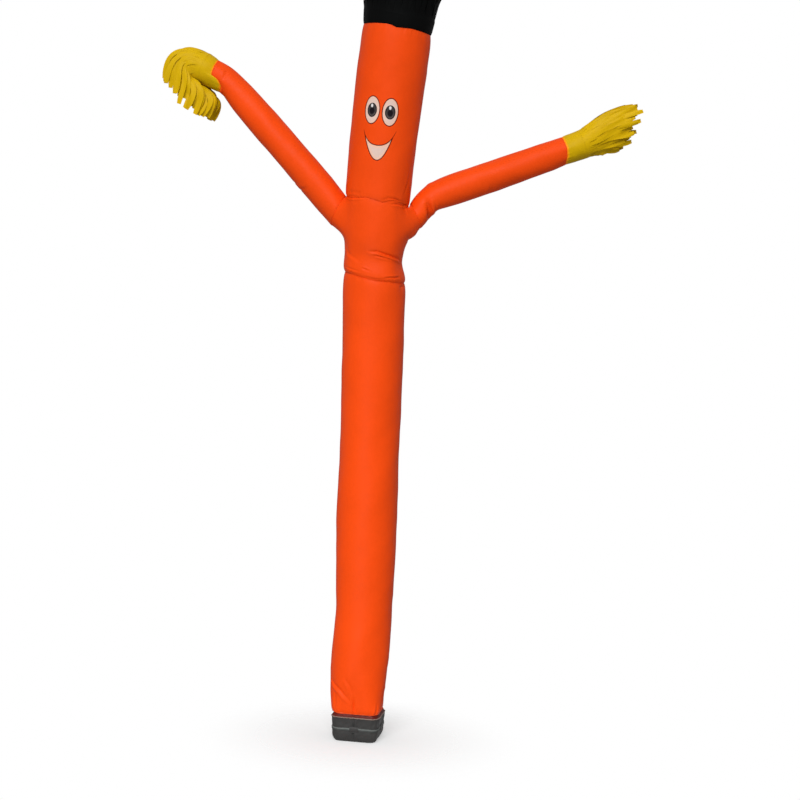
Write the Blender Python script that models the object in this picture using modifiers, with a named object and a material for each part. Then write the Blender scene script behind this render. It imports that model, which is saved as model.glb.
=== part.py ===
"""Inflatable air dancer: cloth tubes sewn end to end on a square cuff, with a fringed head and hands.

Metres, +Z up. The dancer faces -Y, its cuff stands on the ground, and the last step puts the
origin at the bottom centre of its bounding box.
"""

import math
from collections import namedtuple

import bmesh
import bpy
from mathutils import Matrix, Vector

CLOTH = 0.002  # wall of the ripstop nylon tubes, drawn a little thicker than it is
CUFF_CLOTH = 0.003  # the heavier cloth of the cuff
SEAM_GAP = 0.0005  # between two pieces that are sewn together
SLEEVE_GAP = 0.0012  # the same where a sleeve bends upwards at its seam
BODY_HALF_WIDTH = 0.2285  # half of the 18 inch tube

# Each side of a body tube has a column at its middle and one beside each of its corners.
# The cuff isn't smoothed afterwards, so its corners have more of them.
BODY_COLUMNS = [quarter + step for quarter in (0, 90, 180, 270) for step in (0, 35, 55)]
CUFF_COLUMNS = [
    quarter + step for quarter in (0, 90, 180, 270) for step in (0, 33, 37, 41, 45, 49, 53, 57)
]
ARM_COLUMNS = list(range(0, 360, 45))
RIGHT_SIDE, LEFT_SIDE, SLEEVE_SPREAD = 0, 180, 35

# Height and offset of a ring's centre, its half width, its corner radius and how far its plane
# falls for each metre towards +X. A corner radius as large as the half width makes a circle.
Section = namedtuple("Section", "height x half corner fall")


def round_section(height, x, half, fall):
    return Section(height, x, half, half, fall)


WAIST_HEIGHT, NECK_HEIGHT, BROW_HEIGHT = 3.488, 4.073, 5.327
SEAM_FALL = 0.15
WAIST_SEAM = round_section(WAIST_HEIGHT, -0.017, BODY_HALF_WIDTH - 0.006, SEAM_FALL)
NECK_SEAM = round_section(NECK_HEIGHT, -0.020, BODY_HALF_WIDTH + 0.006, SEAM_FALL)
BROW_SEAM = round_section(BROW_HEIGHT, 0.073, BODY_HALF_WIDTH + 0.018, SEAM_FALL)
CUFF_SEAM = Section(0.214, 0.0, 0.171, 0.070, 0.0)

CUFF_HALF = 0.177
CUFF_SECTIONS = [
    Section(0.0, 0.0, 0.118, 0.030, 0.0),
    Section(0.0, 0.0, 0.134, 0.038, 0.0),
    Section(0.0, 0.0, 0.151, 0.046, 0.0),
    Section(0.009, 0.0, 0.162, 0.054, 0.0),
    Section(0.034, 0.0, 0.172, 0.058, 0.0),
    Section(0.070, 0.0, CUFF_HALF, 0.060, 0.0),
    Section(0.130, 0.0, CUFF_HALF, 0.060, 0.0),
    Section(0.170, 0.0, 0.181, 0.062, 0.0),
    Section(0.204, 0.0, 0.183, 0.066, 0.0),
    CUFF_SEAM,
]
LOWER_BODY_SECTIONS = [
    CUFF_SEAM,
    Section(0.232, 0.0, 0.187, 0.078, 0.0),
    Section(0.262, 0.0, 0.193, 0.095, 0.0),
    Section(0.320, -0.002, 0.202, 0.130, 0.0),
    Section(0.405, -0.004, 0.217, 0.180, 0.0),
    round_section(0.540, -0.001, 0.232, 0.0),
    round_section(0.720, 0.000, 0.230, 0.0),
    round_section(0.900, 0.009, 0.222, 0.0),
    round_section(1.080, 0.009, 0.216, 0.01),
    round_section(1.450, 0.004, 0.227, 0.02),
    round_section(1.850, 0.000, 0.229, 0.03),
    round_section(2.220, -0.001, 0.221, 0.05),
    round_section(2.620, -0.006, 0.226, 0.07),
    round_section(3.000, -0.008, 0.232, 0.10),
    round_section(3.260, -0.014, 0.230, 0.13),
    round_section(3.400, -0.016, 0.233, SEAM_FALL),
    round_section(3.455, -0.016, 0.232, SEAM_FALL),
    WAIST_SEAM,
]
TORSO_SECTIONS = [
    WAIST_SEAM,
    round_section(3.508, -0.018, 0.236, SEAM_FALL),
    round_section(3.545, -0.021, 0.236, SEAM_FALL),
    round_section(3.630, -0.034, 0.216, SEAM_FALL),
    round_section(3.680, -0.031, 0.224, SEAM_FALL),
    round_section(3.760, -0.020, 0.238, SEAM_FALL),
    round_section(3.930, -0.020, 0.241, SEAM_FALL),
    round_section(4.035, -0.020, 0.239, SEAM_FALL),
    NECK_SEAM,
]
HEAD_SECTIONS = [
    NECK_SEAM,
    round_section(4.100, -0.018, 0.241, SEAM_FALL),
    round_section(4.170, -0.015, 0.242, 0.12),
    round_section(4.330, -0.003, 0.248, 0.09),
    round_section(4.520, 0.012, 0.253, 0.08),
    round_section(4.760, 0.028, 0.256, 0.08),
    round_section(5.000, 0.045, 0.260, 0.09),
    round_section(5.180, 0.060, 0.257, 0.11),
    round_section(5.290, 0.070, 0.254, SEAM_FALL),
    BROW_SEAM,
]

# The torso row under the armpits, the row through the arms' middle and the row on the shoulders.
ARMPIT_ROW, ARM_ROW, SHOULDER_ROW = 5, 6, 7

# A ring of an arm: how far out and how high its centre is, its radius, and how far its underside
# is pushed in by a fold. Out is measured from the torso's axis. The ring numbered wrist is the
# seam between the arm and its hand, and armpit says how much higher than its row the hole starts.
Station = namedtuple("Station", "out height radius pinch")
Arm = namedtuple("Arm", "side sweep armpit wrist stations")

LEFT_ARM = Arm(
    side=-1,
    sweep=math.radians(2),
    armpit=0.0,
    wrist=9,
    stations=[
        Station(0.291, 3.975, 0.120, 0.0),
        Station(0.422, 4.118, 0.121, 0.0),
        Station(0.552, 4.255, 0.119, 0.0),
        Station(0.704, 4.411, 0.117, 0.0),
        Station(0.851, 4.563, 0.118, 0.0),
        Station(0.985, 4.703, 0.114, 0.0),
        Station(1.090, 4.807, 0.108, 0.0),
        Station(1.157, 4.870, 0.104, 0.022),
        Station(1.207, 4.912, 0.106, 0.004),
        Station(1.259, 4.943, 0.099, 0.0),
        Station(1.296, 4.961, 0.109, 0.0),
        Station(1.331, 4.977, 0.116, 0.0),
        Station(1.366, 4.989, 0.121, 0.0),
    ],
)
RIGHT_ARM = Arm(
    side=1,
    sweep=math.radians(17),
    armpit=0.060,
    wrist=9,
    stations=[
        Station(0.289, 3.962, 0.098, 0.0),
        Station(0.339, 4.026, 0.097, 0.0),
        Station(0.388, 4.078, 0.102, 0.016),
        Station(0.442, 4.116, 0.112, 0.010),
        Station(0.543, 4.163, 0.116, 0.0),
        Station(0.731, 4.236, 0.117, 0.0),
        Station(0.908, 4.303, 0.115, 0.0),
        Station(1.084, 4.372, 0.112, 0.0),
        Station(1.261, 4.444, 0.109, 0.0),
        Station(1.405, 4.501, 0.101, 0.0),
        Station(1.446, 4.517, 0.106, 0.0),
        Station(1.486, 4.533, 0.108, 0.0),
        Station(1.523, 4.549, 0.109, 0.0),
    ],
)

# The belt, and the cloth loops sewn over it in the middle of each side of the cuff.
BELT_HEIGHT, BELT_WIDTH, BELT_THICKNESS = 0.100, 0.020, 0.0025
LOOP_WIDTH, LOOP_HEIGHT, LOOP_CLOTH = 0.066, 0.048, 0.002

# A fringe is a narrow band whose far edge is slit into ribbons.
SLIT_SHARE = 0.16  # the part of the edge that the slits take
FRINGE_CLOTH = 0.002
Fringe = namedtuple("Fringe", "name ribbons steps length")
HAIR = Fringe("hair_fringe", 18, 6, 0.42)
LEFT_FRINGE = Fringe("hand_fringe_left", 12, 8, 0.42)
RIGHT_FRINGE = Fringe("hand_fringe_right", 12, 7, 0.46)
HAIR_BAND_SECTIONS = [
    BROW_SEAM,
    round_section(5.345, 0.075, 0.254, SEAM_FALL),
    round_section(5.395, 0.080, 0.259, SEAM_FALL),
    round_section(5.432, 0.084, 0.263, SEAM_FALL),
]
HAIR_ROOT_HEIGHT = 0.020  # height of the narrow band that the ribbons grow from

ORANGE = (0.78, 0.072, 0.008, 1.0)
YELLOW = (0.56, 0.33, 0.003, 1.0)
BLACK = (0.004, 0.005, 0.005, 1.0)
CUFF_BLACK = (0.034, 0.033, 0.032, 1.0)
BELT_GREY = (0.085, 0.095, 0.090, 1.0)


def clear_scene():
    for obj in list(bpy.data.objects):
        bpy.data.objects.remove(obj)


def cloth_material(name, colour, roughness):
    material = bpy.data.materials.new(name)
    material.use_nodes = True
    shader = material.node_tree.nodes["Principled BSDF"]
    shader.inputs["Base Color"].default_value = colour
    shader.inputs["Roughness"].default_value = roughness
    shader.inputs["Metallic"].default_value = 0.0
    return material


def swell(columns, index):
    """How much further out a cage column lies than the smoothed surface it makes."""
    here = columns[index]
    before = (here - columns[index - 1]) % 360
    after = (columns[(index + 1) % len(columns)] - here) % 360
    return 8 / (6 + math.cos(math.radians(before)) + math.cos(math.radians(after)))


def rounded_square(half, corner, degrees):
    """The point of a rounded square, centred on the origin, in the direction of that angle."""
    turn = math.radians(degrees)
    direction = Vector((math.cos(turn), math.sin(turn)))
    flat = half / max(abs(direction.x), abs(direction.y))
    point = direction * flat
    middle = half - corner
    if min(abs(point.x), abs(point.y)) <= middle:
        return point
    # The direction meets the corner's arc, whose centre lies on the square's diagonal.
    centre = Vector((math.copysign(middle, direction.x), math.copysign(middle, direction.y)))
    along = direction.dot(centre)
    reach = along + math.sqrt(along**2 - centre.length_squared + corner**2)
    return direction * reach


def section_point(section, degrees, grow=1.0):
    flat = rounded_square(section.half, section.corner, degrees) * grow
    x = section.x + flat.x
    return Vector((x, flat.y, section.height - section.fall * x))


def open_tube(columns, rows, place):
    """An open tube started as a cylinder. place(row, column) says where each of its points goes."""
    shape = bmesh.new()
    bmesh.ops.create_cone(
        shape,
        cap_ends=False,
        segments=columns,
        radius1=1,
        radius2=1,
        depth=rows - 1,
        matrix=Matrix.Translation((0, 0, (rows - 1) / 2)),
    )
    for row in range(1, rows - 1):
        everything = shape.verts[:] + shape.edges[:] + shape.faces[:]
        bmesh.ops.bisect_plane(shape, geom=everything, plane_co=(0, 0, row), plane_no=(0, 0, 1))
    grid = {}
    for vertex in shape.verts:
        column = round(math.atan2(vertex.co.y, vertex.co.x) * columns / math.tau) % columns
        grid[round(vertex.co.z), column] = vertex
    for (row, column), vertex in grid.items():
        vertex.co = place(row, column)
    return shape, grid


def add_solid(name, shape, material, thickness, smoothing=1, offset=-1.0):
    """Turns an open cloth surface into an object: smoothed first, then given its thickness."""
    mesh = bpy.data.meshes.new(name)
    shape.to_mesh(mesh)
    shape.free()
    mesh.materials.append(material)
    mesh.shade_smooth()
    obj = bpy.data.objects.new(name, mesh)
    bpy.data.collections["air_dancer"].objects.link(obj)
    if smoothing:
        smooth = obj.modifiers.new("Smooth cloth", "SUBSURF")
        smooth.levels = smooth.render_levels = smoothing
    wall = obj.modifiers.new("Cloth thickness", "SOLIDIFY")
    wall.thickness = thickness
    wall.offset = offset
    return obj


def body_cage(sections, lift_first=0.0, lift_last=0.0, columns=BODY_COLUMNS):
    """The cage of a body tube. Its end rings are lifted a little, to leave the seam's gap."""

    def place(row, column):
        section = sections[row]
        grow = 1.0
        if columns is BODY_COLUMNS:
            grow += (swell(columns, column) - 1) * section.corner / section.half
        point = section_point(section, columns[column], grow)
        if row == 0:
            point.z += lift_first
        elif row == len(sections) - 1:
            point.z += lift_last
        return point

    return open_tube(len(columns), len(sections), place)


def arm_plane(arm):
    """The horizontal direction in which an arm reaches, and the torso's axis that it starts from."""
    outward = Vector((arm.side * math.cos(arm.sweep), math.sin(arm.sweep), 0))
    return outward, Vector((NECK_SEAM.x, 0, 0))


def station_frame(arm, index):
    """Centre, direction, upper and sideways axes of one ring of an arm or its hand."""
    outward, start = arm_plane(arm)
    here = arm.stations[index]
    last = len(arm.stations) - 1
    before, after = arm.stations[max(index - 1, 0)], arm.stations[min(index + 1, last)]
    direction = outward * (after.out - before.out) + Vector((0, 0, after.height - before.height))
    direction.normalize()
    if index == 0:  # the sleeve leaves the torso's upright side, and turns upwards after that
        direction = (direction + outward).normalized()
    upper = Vector((0, 0, 1)) - direction * direction.z
    upper.normalize()
    centre = start + outward * here.out + Vector((0, 0, here.height))
    return centre, direction, upper, direction.cross(upper)


def station_point(arm, index, degrees, grow=1.0):
    centre, _, upper, sideways = station_frame(arm, index)
    turn = math.radians(degrees)
    underside = (1 - math.cos(turn)) / 2
    radius = arm.stations[index].radius * grow
    point = centre + (upper * math.cos(turn) + sideways * math.sin(turn)) * radius
    return point + upper * arm.stations[index].pinch * underside**3


def arm_cage(arm, first, last):
    """The cage of an arm or a hand. Its first ring is pushed along it, to leave the seam's gap."""

    def place(row, column):
        grow = swell(ARM_COLUMNS, column)
        point = station_point(arm, first + row, ARM_COLUMNS[column], grow)
        if row == 0:
            point += station_frame(arm, first)[1] * (SEAM_GAP if first else SLEEVE_GAP)
        return point

    return open_tube(len(ARM_COLUMNS), last - first + 1, place)


def open_sleeve(shape, grid, arm):
    """Cuts an arm hole in the torso's cage and draws its edge out to the arm's first ring."""
    side = RIGHT_SIDE if arm.side > 0 else LEFT_SIDE
    # Seen along the arm, its sideways axis points to the lower angle on both sides.
    middle, near, far = (
        BODY_COLUMNS.index((side + step) % 360) for step in (0, -SLEEVE_SPREAD, SLEEVE_SPREAD)
    )
    around = [
        (SHOULDER_ROW, middle),
        (SHOULDER_ROW, near),
        (ARM_ROW, near),
        (ARMPIT_ROW, near),
        (ARMPIT_ROW, middle),
        (ARMPIT_ROW, far),
        (ARM_ROW, far),
        (SHOULDER_ROW, far),
    ]
    bmesh.ops.delete(shape, geom=[grid[ARM_ROW, middle]], context="VERTS")
    edge = [grid[place] for place in around]
    for place in around:
        if place[0] == ARMPIT_ROW:
            grid[place].co.z += arm.armpit
    hole = [shape.edges.get((edge[i - 1], edge[i])) for i in range(len(edge))]
    drawn = bmesh.ops.extrude_edge_only(shape, edges=hole)["geom"]
    drawn = {item for item in drawn if isinstance(item, bmesh.types.BMVert)}
    for index, corner in enumerate(edge):
        moved = next(e.other_vert(corner) for e in corner.link_edges if e.other_vert(corner) in drawn)
        grow = swell(ARM_COLUMNS, index)
        moved.co = station_point(arm, 0, ARM_COLUMNS[index], grow)


def make_cuff(material):
    shape, _ = body_cage(CUFF_SECTIONS, lift_last=-SEAM_GAP, columns=CUFF_COLUMNS)
    return add_solid("cuff", shape, material, CUFF_CLOTH, smoothing=0)


def make_belt(material):
    """A closed band of webbing round the cuff."""
    low = Section(BELT_HEIGHT - BELT_WIDTH / 2, 0, CUFF_HALF + SEAM_GAP, CUFF_SECTIONS[5].corner, 0)
    high = low._replace(height=BELT_HEIGHT + BELT_WIDTH / 2)
    shape, _ = body_cage([low, high], columns=CUFF_COLUMNS)
    return add_solid("belt", shape, material, BELT_THICKNESS, smoothing=0, offset=1.0)


def make_belt_loop(name, degrees, material):
    """A strip of cloth sewn down above and below the belt, and standing over it."""
    rise = SEAM_GAP + BELT_THICKNESS + SEAM_GAP
    flat, sewn = BELT_WIDTH / 2 + 0.002, BELT_WIDTH / 2 + 0.006
    profile = [
        (-LOOP_HEIGHT / 2, SEAM_GAP),
        (-sewn, SEAM_GAP),
        (-flat, rise),
        (flat, rise),
        (sewn, SEAM_GAP),
        (LOOP_HEIGHT / 2, SEAM_GAP),
    ]
    outward = Vector((math.cos(math.radians(degrees)), math.sin(math.radians(degrees)), 0))
    along = Vector((-outward.y, outward.x, 0))
    shape = bmesh.new()
    bmesh.ops.create_grid(shape, x_segments=1, y_segments=len(profile) - 1, size=1)
    step = 2 / (len(profile) - 1)
    for vertex in shape.verts:
        height, out = profile[round((vertex.co.y + 1) / step)]
        sideways = along * vertex.co.x * LOOP_WIDTH / 2
        vertex.co = sideways + outward * (CUFF_HALF + out) + Vector((0, 0, BELT_HEIGHT + height))
    return add_solid(name, shape, material, LOOP_CLOTH, smoothing=0, offset=1.0)


def make_torso(material):
    shape, grid = body_cage(TORSO_SECTIONS, lift_first=SEAM_GAP, lift_last=-SEAM_GAP)
    open_sleeve(shape, grid, LEFT_ARM)
    open_sleeve(shape, grid, RIGHT_ARM)
    bmesh.ops.recalc_face_normals(shape, faces=shape.faces[:])
    return add_solid("torso", shape, material, CLOTH)


def make_fringe(fringe, band, ribbon_path, material):
    """A slit band in one piece. band(turn, up) is a point of the band; ribbon_path gives each
    ribbon's line and the direction of its width, step by step."""
    columns = fringe.ribbons * 2
    slit = SLIT_SHARE / fringe.ribbons

    def place(row, column):
        ribbon, far_side = divmod(column, 2)
        turn = ribbon / fringe.ribbons + (1 / fringe.ribbons - slit) * far_side
        return band(turn, row)

    shape, grid = open_tube(columns, 2, place)
    for ribbon in range(fringe.ribbons):
        left, right = grid[1, 2 * ribbon], grid[1, 2 * ribbon + 1]
        edge = shape.edges.get((left, right))
        half = (right.co - left.co).length / 2
        start, turn = (left.co + right.co) / 2, (ribbon + 0.5) / fringe.ribbons
        for point, across in ribbon_path(fringe, turn, start, (right.co - left.co).normalized()):
            made = bmesh.ops.extrude_edge_only(shape, edges=[edge])["geom"]
            new = [item for item in made if isinstance(item, bmesh.types.BMVert)]
            next_left = next(v for v in new if shape.edges.get((v, left)))
            next_right = next(v for v in new if shape.edges.get((v, right)))
            next_left.co, next_right.co = point - across * half, point + across * half
            left, right = next_left, next_right
            edge = shape.edges.get((left, right))
    bmesh.ops.recalc_face_normals(shape, faces=shape.faces[:])
    return add_solid(fringe.name, shape, material, FRINGE_CLOTH, smoothing=0)


def uneven(turn, rate):
    """A smooth number from -1 to 1 that differs from ribbon to ribbon."""
    return math.sin(math.tau * turn * rate + rate)


def hair_path(fringe, turn, start, across):
    """Ribbons that the air blows up and outwards from the head's open top."""
    angle = math.tau * turn
    outward = Vector((math.cos(angle), math.sin(angle), 0))
    rise = Vector((0.08, 0, 1)).normalized()
    length = fringe.length * (1 + 0.10 * uneven(turn, 5))
    flare = 0.95 + 0.25 * uneven(turn, 3)
    point = start
    for step in range(1, fringe.steps + 1):
        share = step / fringe.steps
        lean = 0.10 + flare * share**2
        point = point + (rise * math.cos(lean) + outward * math.sin(lean)) * length / fringe.steps
        yield point, across


def right_hand_path(fringe, turn, start, across):
    """Ribbons that stream out of the right hand and open a little as they go."""
    _, direction, upper, sideways = station_frame(RIGHT_ARM, len(RIGHT_ARM.stations) - 1)
    angle = math.tau * turn
    away = upper * math.cos(angle) + sideways * math.sin(angle)
    length = fringe.length * (1 + 0.10 * uneven(turn, 4))
    point = start
    for step in range(1, fringe.steps + 1):
        share = step / fringe.steps
        wave = 0.14 * math.sin(math.tau * 0.8 * share + 0.3 + 0.5 * uneven(turn, 2))
        opening = 0.10 * math.sin(math.pi * share) - 0.07
        heading = (direction + upper * (0.06 + wave) + away * opening).normalized()
        point = point + heading * length / fringe.steps
        yield point, across


def left_hand_path(fringe, turn, start, across):
    """Ribbons that leave the left hand and fall over: the upper ones reach out furthest."""
    _, direction, upper, sideways = station_frame(LEFT_ARM, len(LEFT_ARM.stations) - 1)
    angle = math.tau * turn
    height = (1 + math.cos(angle)) / 2
    away = sideways * math.sin(angle)
    length = fringe.length * (0.84 + 0.30 * height + 0.05 * uneven(turn, 4))
    bend = 0.14 + 1.10 * height
    point = start
    for step in range(1, fringe.steps + 1):
        share = step / fringe.steps
        turned = min(share / bend, 1)
        turned = turned * turned * (3 - 2 * turned)
        drift = (0.55 + 1.05 * math.cos(math.pi * share)) * (1 - height)
        fallen = Vector((drift, 0, -1)).normalized()
        heading = (direction.lerp(fallen, turned).normalized() + away * 0.10).normalized()
        point = point + heading * length / fringe.steps
        width = across.copy()
        width.rotate(direction.rotation_difference(heading))
        yield point, width


def hair_band_point(turn, up):
    """A point of the narrow band that the hair's ribbons grow from, just above the hair band."""
    section = HAIR_BAND_SECTIONS[-1]
    lifted = section._replace(height=section.height + SEAM_GAP + HAIR_ROOT_HEIGHT * up)
    return section_point(lifted, turn * 360)


def hand_band_point(arm):
    """The same for a hand: a narrow band past the sleeve's last ring."""

    def band(turn, up):
        last = len(arm.stations) - 1
        direction = station_frame(arm, last)[1]
        return station_point(arm, last, turn * 360) + direction * (SEAM_GAP + 0.016 * up)

    return band


def stand_on_origin(objects):
    """Parents the pieces to one empty and moves it, so that the origin is below their middle."""
    bpy.context.view_layer.update()
    graph = bpy.context.evaluated_depsgraph_get()
    corners = []
    for obj in objects:
        evaluated = obj.evaluated_get(graph)
        mesh = evaluated.to_mesh()
        corners += [evaluated.matrix_world @ vertex.co for vertex in mesh.vertices]
        evaluated.to_mesh_clear()
    low = Vector(min(point[axis] for point in corners) for axis in range(3))
    high = Vector(max(point[axis] for point in corners) for axis in range(3))
    holder = bpy.data.objects.new("dancer", None)
    bpy.data.collections["air_dancer"].objects.link(holder)
    for obj in objects:
        obj.parent = holder
    holder.location = (-(low.x + high.x) / 2, -(low.y + high.y) / 2, -low.z)


def main():
    clear_scene()
    collection = bpy.data.collections.new("air_dancer")
    bpy.context.scene.collection.children.link(collection)
    orange = cloth_material("orange_nylon", ORANGE, 0.55)
    yellow = cloth_material("yellow_nylon", YELLOW, 0.55)
    black = cloth_material("black_nylon", BLACK, 0.6)
    cuff_black = cloth_material("cuff_cloth", CUFF_BLACK, 0.5)
    webbing = cloth_material("belt_webbing", BELT_GREY, 0.6)

    pieces = [make_cuff(cuff_black), make_belt(webbing)]
    for name, degrees in (("right", 0), ("back", 90), ("left", 180), ("front", 270)):
        pieces.append(make_belt_loop(f"belt_loop_{name}", degrees, cuff_black))

    shape, _ = body_cage(LOWER_BODY_SECTIONS, lift_last=-SEAM_GAP)
    pieces.append(add_solid("lower_body", shape, orange, CLOTH))
    pieces.append(make_torso(orange))
    shape, _ = body_cage(HEAD_SECTIONS, lift_last=-SEAM_GAP)
    pieces.append(add_solid("head", shape, orange, CLOTH))
    shape, _ = body_cage(HAIR_BAND_SECTIONS)
    pieces.append(add_solid("hair_band", shape, black, CLOTH))
    pieces.append(make_fringe(HAIR, hair_band_point, hair_path, black))

    for name, arm in (("left", LEFT_ARM), ("right", RIGHT_ARM)):
        shape, _ = arm_cage(arm, 0, arm.wrist)
        pieces.append(add_solid(f"arm_{name}", shape, orange, CLOTH))
        shape, _ = arm_cage(arm, arm.wrist, len(arm.stations) - 1)
        pieces.append(add_solid(f"hand_{name}", shape, yellow, CLOTH))
    left_band, right_band = hand_band_point(LEFT_ARM), hand_band_point(RIGHT_ARM)
    pieces.append(make_fringe(LEFT_FRINGE, left_band, left_hand_path, yellow))
    pieces.append(make_fringe(RIGHT_FRINGE, right_band, right_hand_path, yellow))
    stand_on_origin(pieces)


main()
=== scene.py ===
"""Inflatable air dancer, sewn over its fixed frame: thin nylon tubes with their folds, seams and
stitches, slit ribbons for the hair and hands, and a heavy cuff with a belt through four loops.

Metres. Angles round the body are in degrees from the middle of the front towards +X. Heights on it
are those of the middle of a ring, whose plane falls towards +X as the seams do.
"""

import math
from collections import namedtuple

import bmesh
import bpy
import numpy as np
from bpy.props import FloatProperty, FloatVectorProperty, PointerProperty
from mathutils import Matrix, Vector


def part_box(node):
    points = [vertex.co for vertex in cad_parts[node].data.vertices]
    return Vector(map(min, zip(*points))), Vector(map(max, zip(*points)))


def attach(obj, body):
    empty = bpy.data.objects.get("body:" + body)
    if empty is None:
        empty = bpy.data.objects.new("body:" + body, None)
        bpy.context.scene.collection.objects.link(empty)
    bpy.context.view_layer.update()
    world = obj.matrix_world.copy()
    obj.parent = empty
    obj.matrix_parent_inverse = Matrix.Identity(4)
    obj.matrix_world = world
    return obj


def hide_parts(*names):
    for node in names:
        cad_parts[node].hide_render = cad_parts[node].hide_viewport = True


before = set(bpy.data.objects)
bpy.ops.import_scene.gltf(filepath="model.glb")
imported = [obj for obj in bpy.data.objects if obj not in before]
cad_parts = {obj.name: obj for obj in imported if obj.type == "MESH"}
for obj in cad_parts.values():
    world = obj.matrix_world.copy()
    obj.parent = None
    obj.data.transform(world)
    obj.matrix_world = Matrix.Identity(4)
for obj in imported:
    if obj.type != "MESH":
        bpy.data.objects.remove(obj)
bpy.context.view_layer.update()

bl_info = {
    "name": "Inflatable air dancer",
    "version": (1, 0, 0),
    "blender": (4, 5, 0),
    "location": "3D View > Sidebar > Air dancer",
    "description": "Sews the cloth of an air dancer and dresses its cuff",
    "category": "Add Mesh",
}

# The cuff's middle on the ground, which all the tables are measured from.
CUFF_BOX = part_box("cuff")
FOOT = Vector(((CUFF_BOX[0][0] + CUFF_BOX[1][0]) / 2, (CUFF_BOX[0][1] + CUFF_BOX[1][1]) / 2, 0))

# A ring of a body tube: height and offset of its centre, half width, corner radius (as large as
# the half width on a round one) and how far its plane falls for each metre towards +X.
Section = namedtuple("Section", "height x half corner fall")


def round_section(height, x, half, fall):
    return Section(height, x, half, half, fall)


SEAM_FALL = 0.15
WAIST_SEAM = round_section(3.488, -0.017, 0.2225, SEAM_FALL)
NECK_SEAM = round_section(4.073, -0.020, 0.2345, SEAM_FALL)
BROW_SEAM = round_section(5.327, 0.073, 0.2465, SEAM_FALL)
CUFF_SEAM = Section(0.214, 0.0, 0.171, 0.070, 0.0)
CUFF_HALF = 0.177
CUFF_SECTIONS = [
    Section(0.0, 0.0, 0.118, 0.030, 0.0),
    Section(0.0, 0.0, 0.134, 0.038, 0.0),
    Section(0.0, 0.0, 0.151, 0.046, 0.0),
    Section(0.009, 0.0, 0.162, 0.054, 0.0),
    Section(0.034, 0.0, 0.172, 0.058, 0.0),
    Section(0.070, 0.0, CUFF_HALF, 0.060, 0.0),
    Section(0.130, 0.0, CUFF_HALF, 0.060, 0.0),
    Section(0.170, 0.0, 0.181, 0.062, 0.0),
    Section(0.204, 0.0, 0.183, 0.066, 0.0),
    CUFF_SEAM,
]
LOWER_BODY_SECTIONS = [
    CUFF_SEAM,
    Section(0.232, 0.0, 0.187, 0.078, 0.0),
    Section(0.262, 0.0, 0.193, 0.095, 0.0),
    Section(0.320, -0.002, 0.202, 0.130, 0.0),
    Section(0.405, -0.004, 0.217, 0.180, 0.0),
    round_section(0.540, -0.001, 0.232, 0.0),
    round_section(0.720, 0.000, 0.230, 0.0),
    round_section(0.900, 0.009, 0.222, 0.0),
    round_section(1.080, 0.009, 0.216, 0.01),
    round_section(1.450, 0.004, 0.227, 0.02),
    round_section(1.850, 0.000, 0.229, 0.03),
    round_section(2.220, -0.001, 0.221, 0.05),
    round_section(2.620, -0.006, 0.226, 0.07),
    round_section(3.000, -0.008, 0.232, 0.10),
    round_section(3.260, -0.014, 0.230, 0.13),
    round_section(3.400, -0.016, 0.233, SEAM_FALL),
    round_section(3.455, -0.016, 0.232, SEAM_FALL),
    WAIST_SEAM,
]
TORSO_SECTIONS = [
    WAIST_SEAM,
    round_section(3.508, -0.018, 0.236, SEAM_FALL),
    round_section(3.545, -0.021, 0.236, SEAM_FALL),
    round_section(3.630, -0.034, 0.216, SEAM_FALL),
    round_section(3.680, -0.031, 0.224, SEAM_FALL),
    round_section(3.760, -0.020, 0.238, SEAM_FALL),
    round_section(3.930, -0.020, 0.241, SEAM_FALL),
    round_section(4.035, -0.020, 0.239, SEAM_FALL),
    NECK_SEAM,
]
HEAD_SECTIONS = [
    NECK_SEAM,
    round_section(4.100, -0.018, 0.241, SEAM_FALL),
    round_section(4.170, -0.015, 0.242, 0.12),
    round_section(4.330, -0.003, 0.248, 0.09),
    round_section(4.520, 0.012, 0.253, 0.08),
    round_section(4.760, 0.028, 0.256, 0.08),
    round_section(5.000, 0.045, 0.260, 0.09),
    round_section(5.180, 0.060, 0.257, 0.11),
    round_section(5.290, 0.070, 0.254, SEAM_FALL),
    BROW_SEAM,
]
HAIR_BAND_SECTIONS = [
    BROW_SEAM,
    round_section(5.345, 0.075, 0.254, SEAM_FALL),
    round_section(5.395, 0.080, 0.259, SEAM_FALL),
    round_section(5.432, 0.084, 0.263, SEAM_FALL),
]

# The torso's cage has these columns; an arm's hole takes the one on its side and its neighbours.
TORSO_COLUMNS = [quarter + step for quarter in (0, 90, 180, 270) for step in (0, 35, 55)]
ARM_COLUMNS = list(range(0, 360, 45))
ARMPIT_ROW, ARM_ROW, SHOULDER_ROW = 5, 6, 7
SLEEVE_SPREAD = 35

# A ring of an arm: how far out from the torso's axis and how high its centre is, its radius, and
# how far a fold pushes its underside in. The ring numbered wrist is the seam of arm and hand.
Station = namedtuple("Station", "out height radius pinch")
Arm = namedtuple("Arm", "name side sweep armpit wrist stations")
LEFT_ARM = Arm(
    name="left",
    side=-1,
    sweep=math.radians(2),
    armpit=0.0,
    wrist=9,
    stations=[
        Station(0.291, 3.975, 0.120, 0.0),
        Station(0.422, 4.118, 0.121, 0.0),
        Station(0.552, 4.255, 0.119, 0.0),
        Station(0.704, 4.411, 0.117, 0.0),
        Station(0.851, 4.563, 0.118, 0.0),
        Station(0.985, 4.703, 0.114, 0.0),
        Station(1.090, 4.807, 0.108, 0.0),
        Station(1.157, 4.870, 0.104, 0.022),
        Station(1.207, 4.912, 0.106, 0.004),
        Station(1.259, 4.943, 0.099, 0.0),
        Station(1.296, 4.961, 0.109, 0.0),
        Station(1.331, 4.977, 0.116, 0.0),
        Station(1.366, 4.989, 0.121, 0.0),
    ],
)
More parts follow.
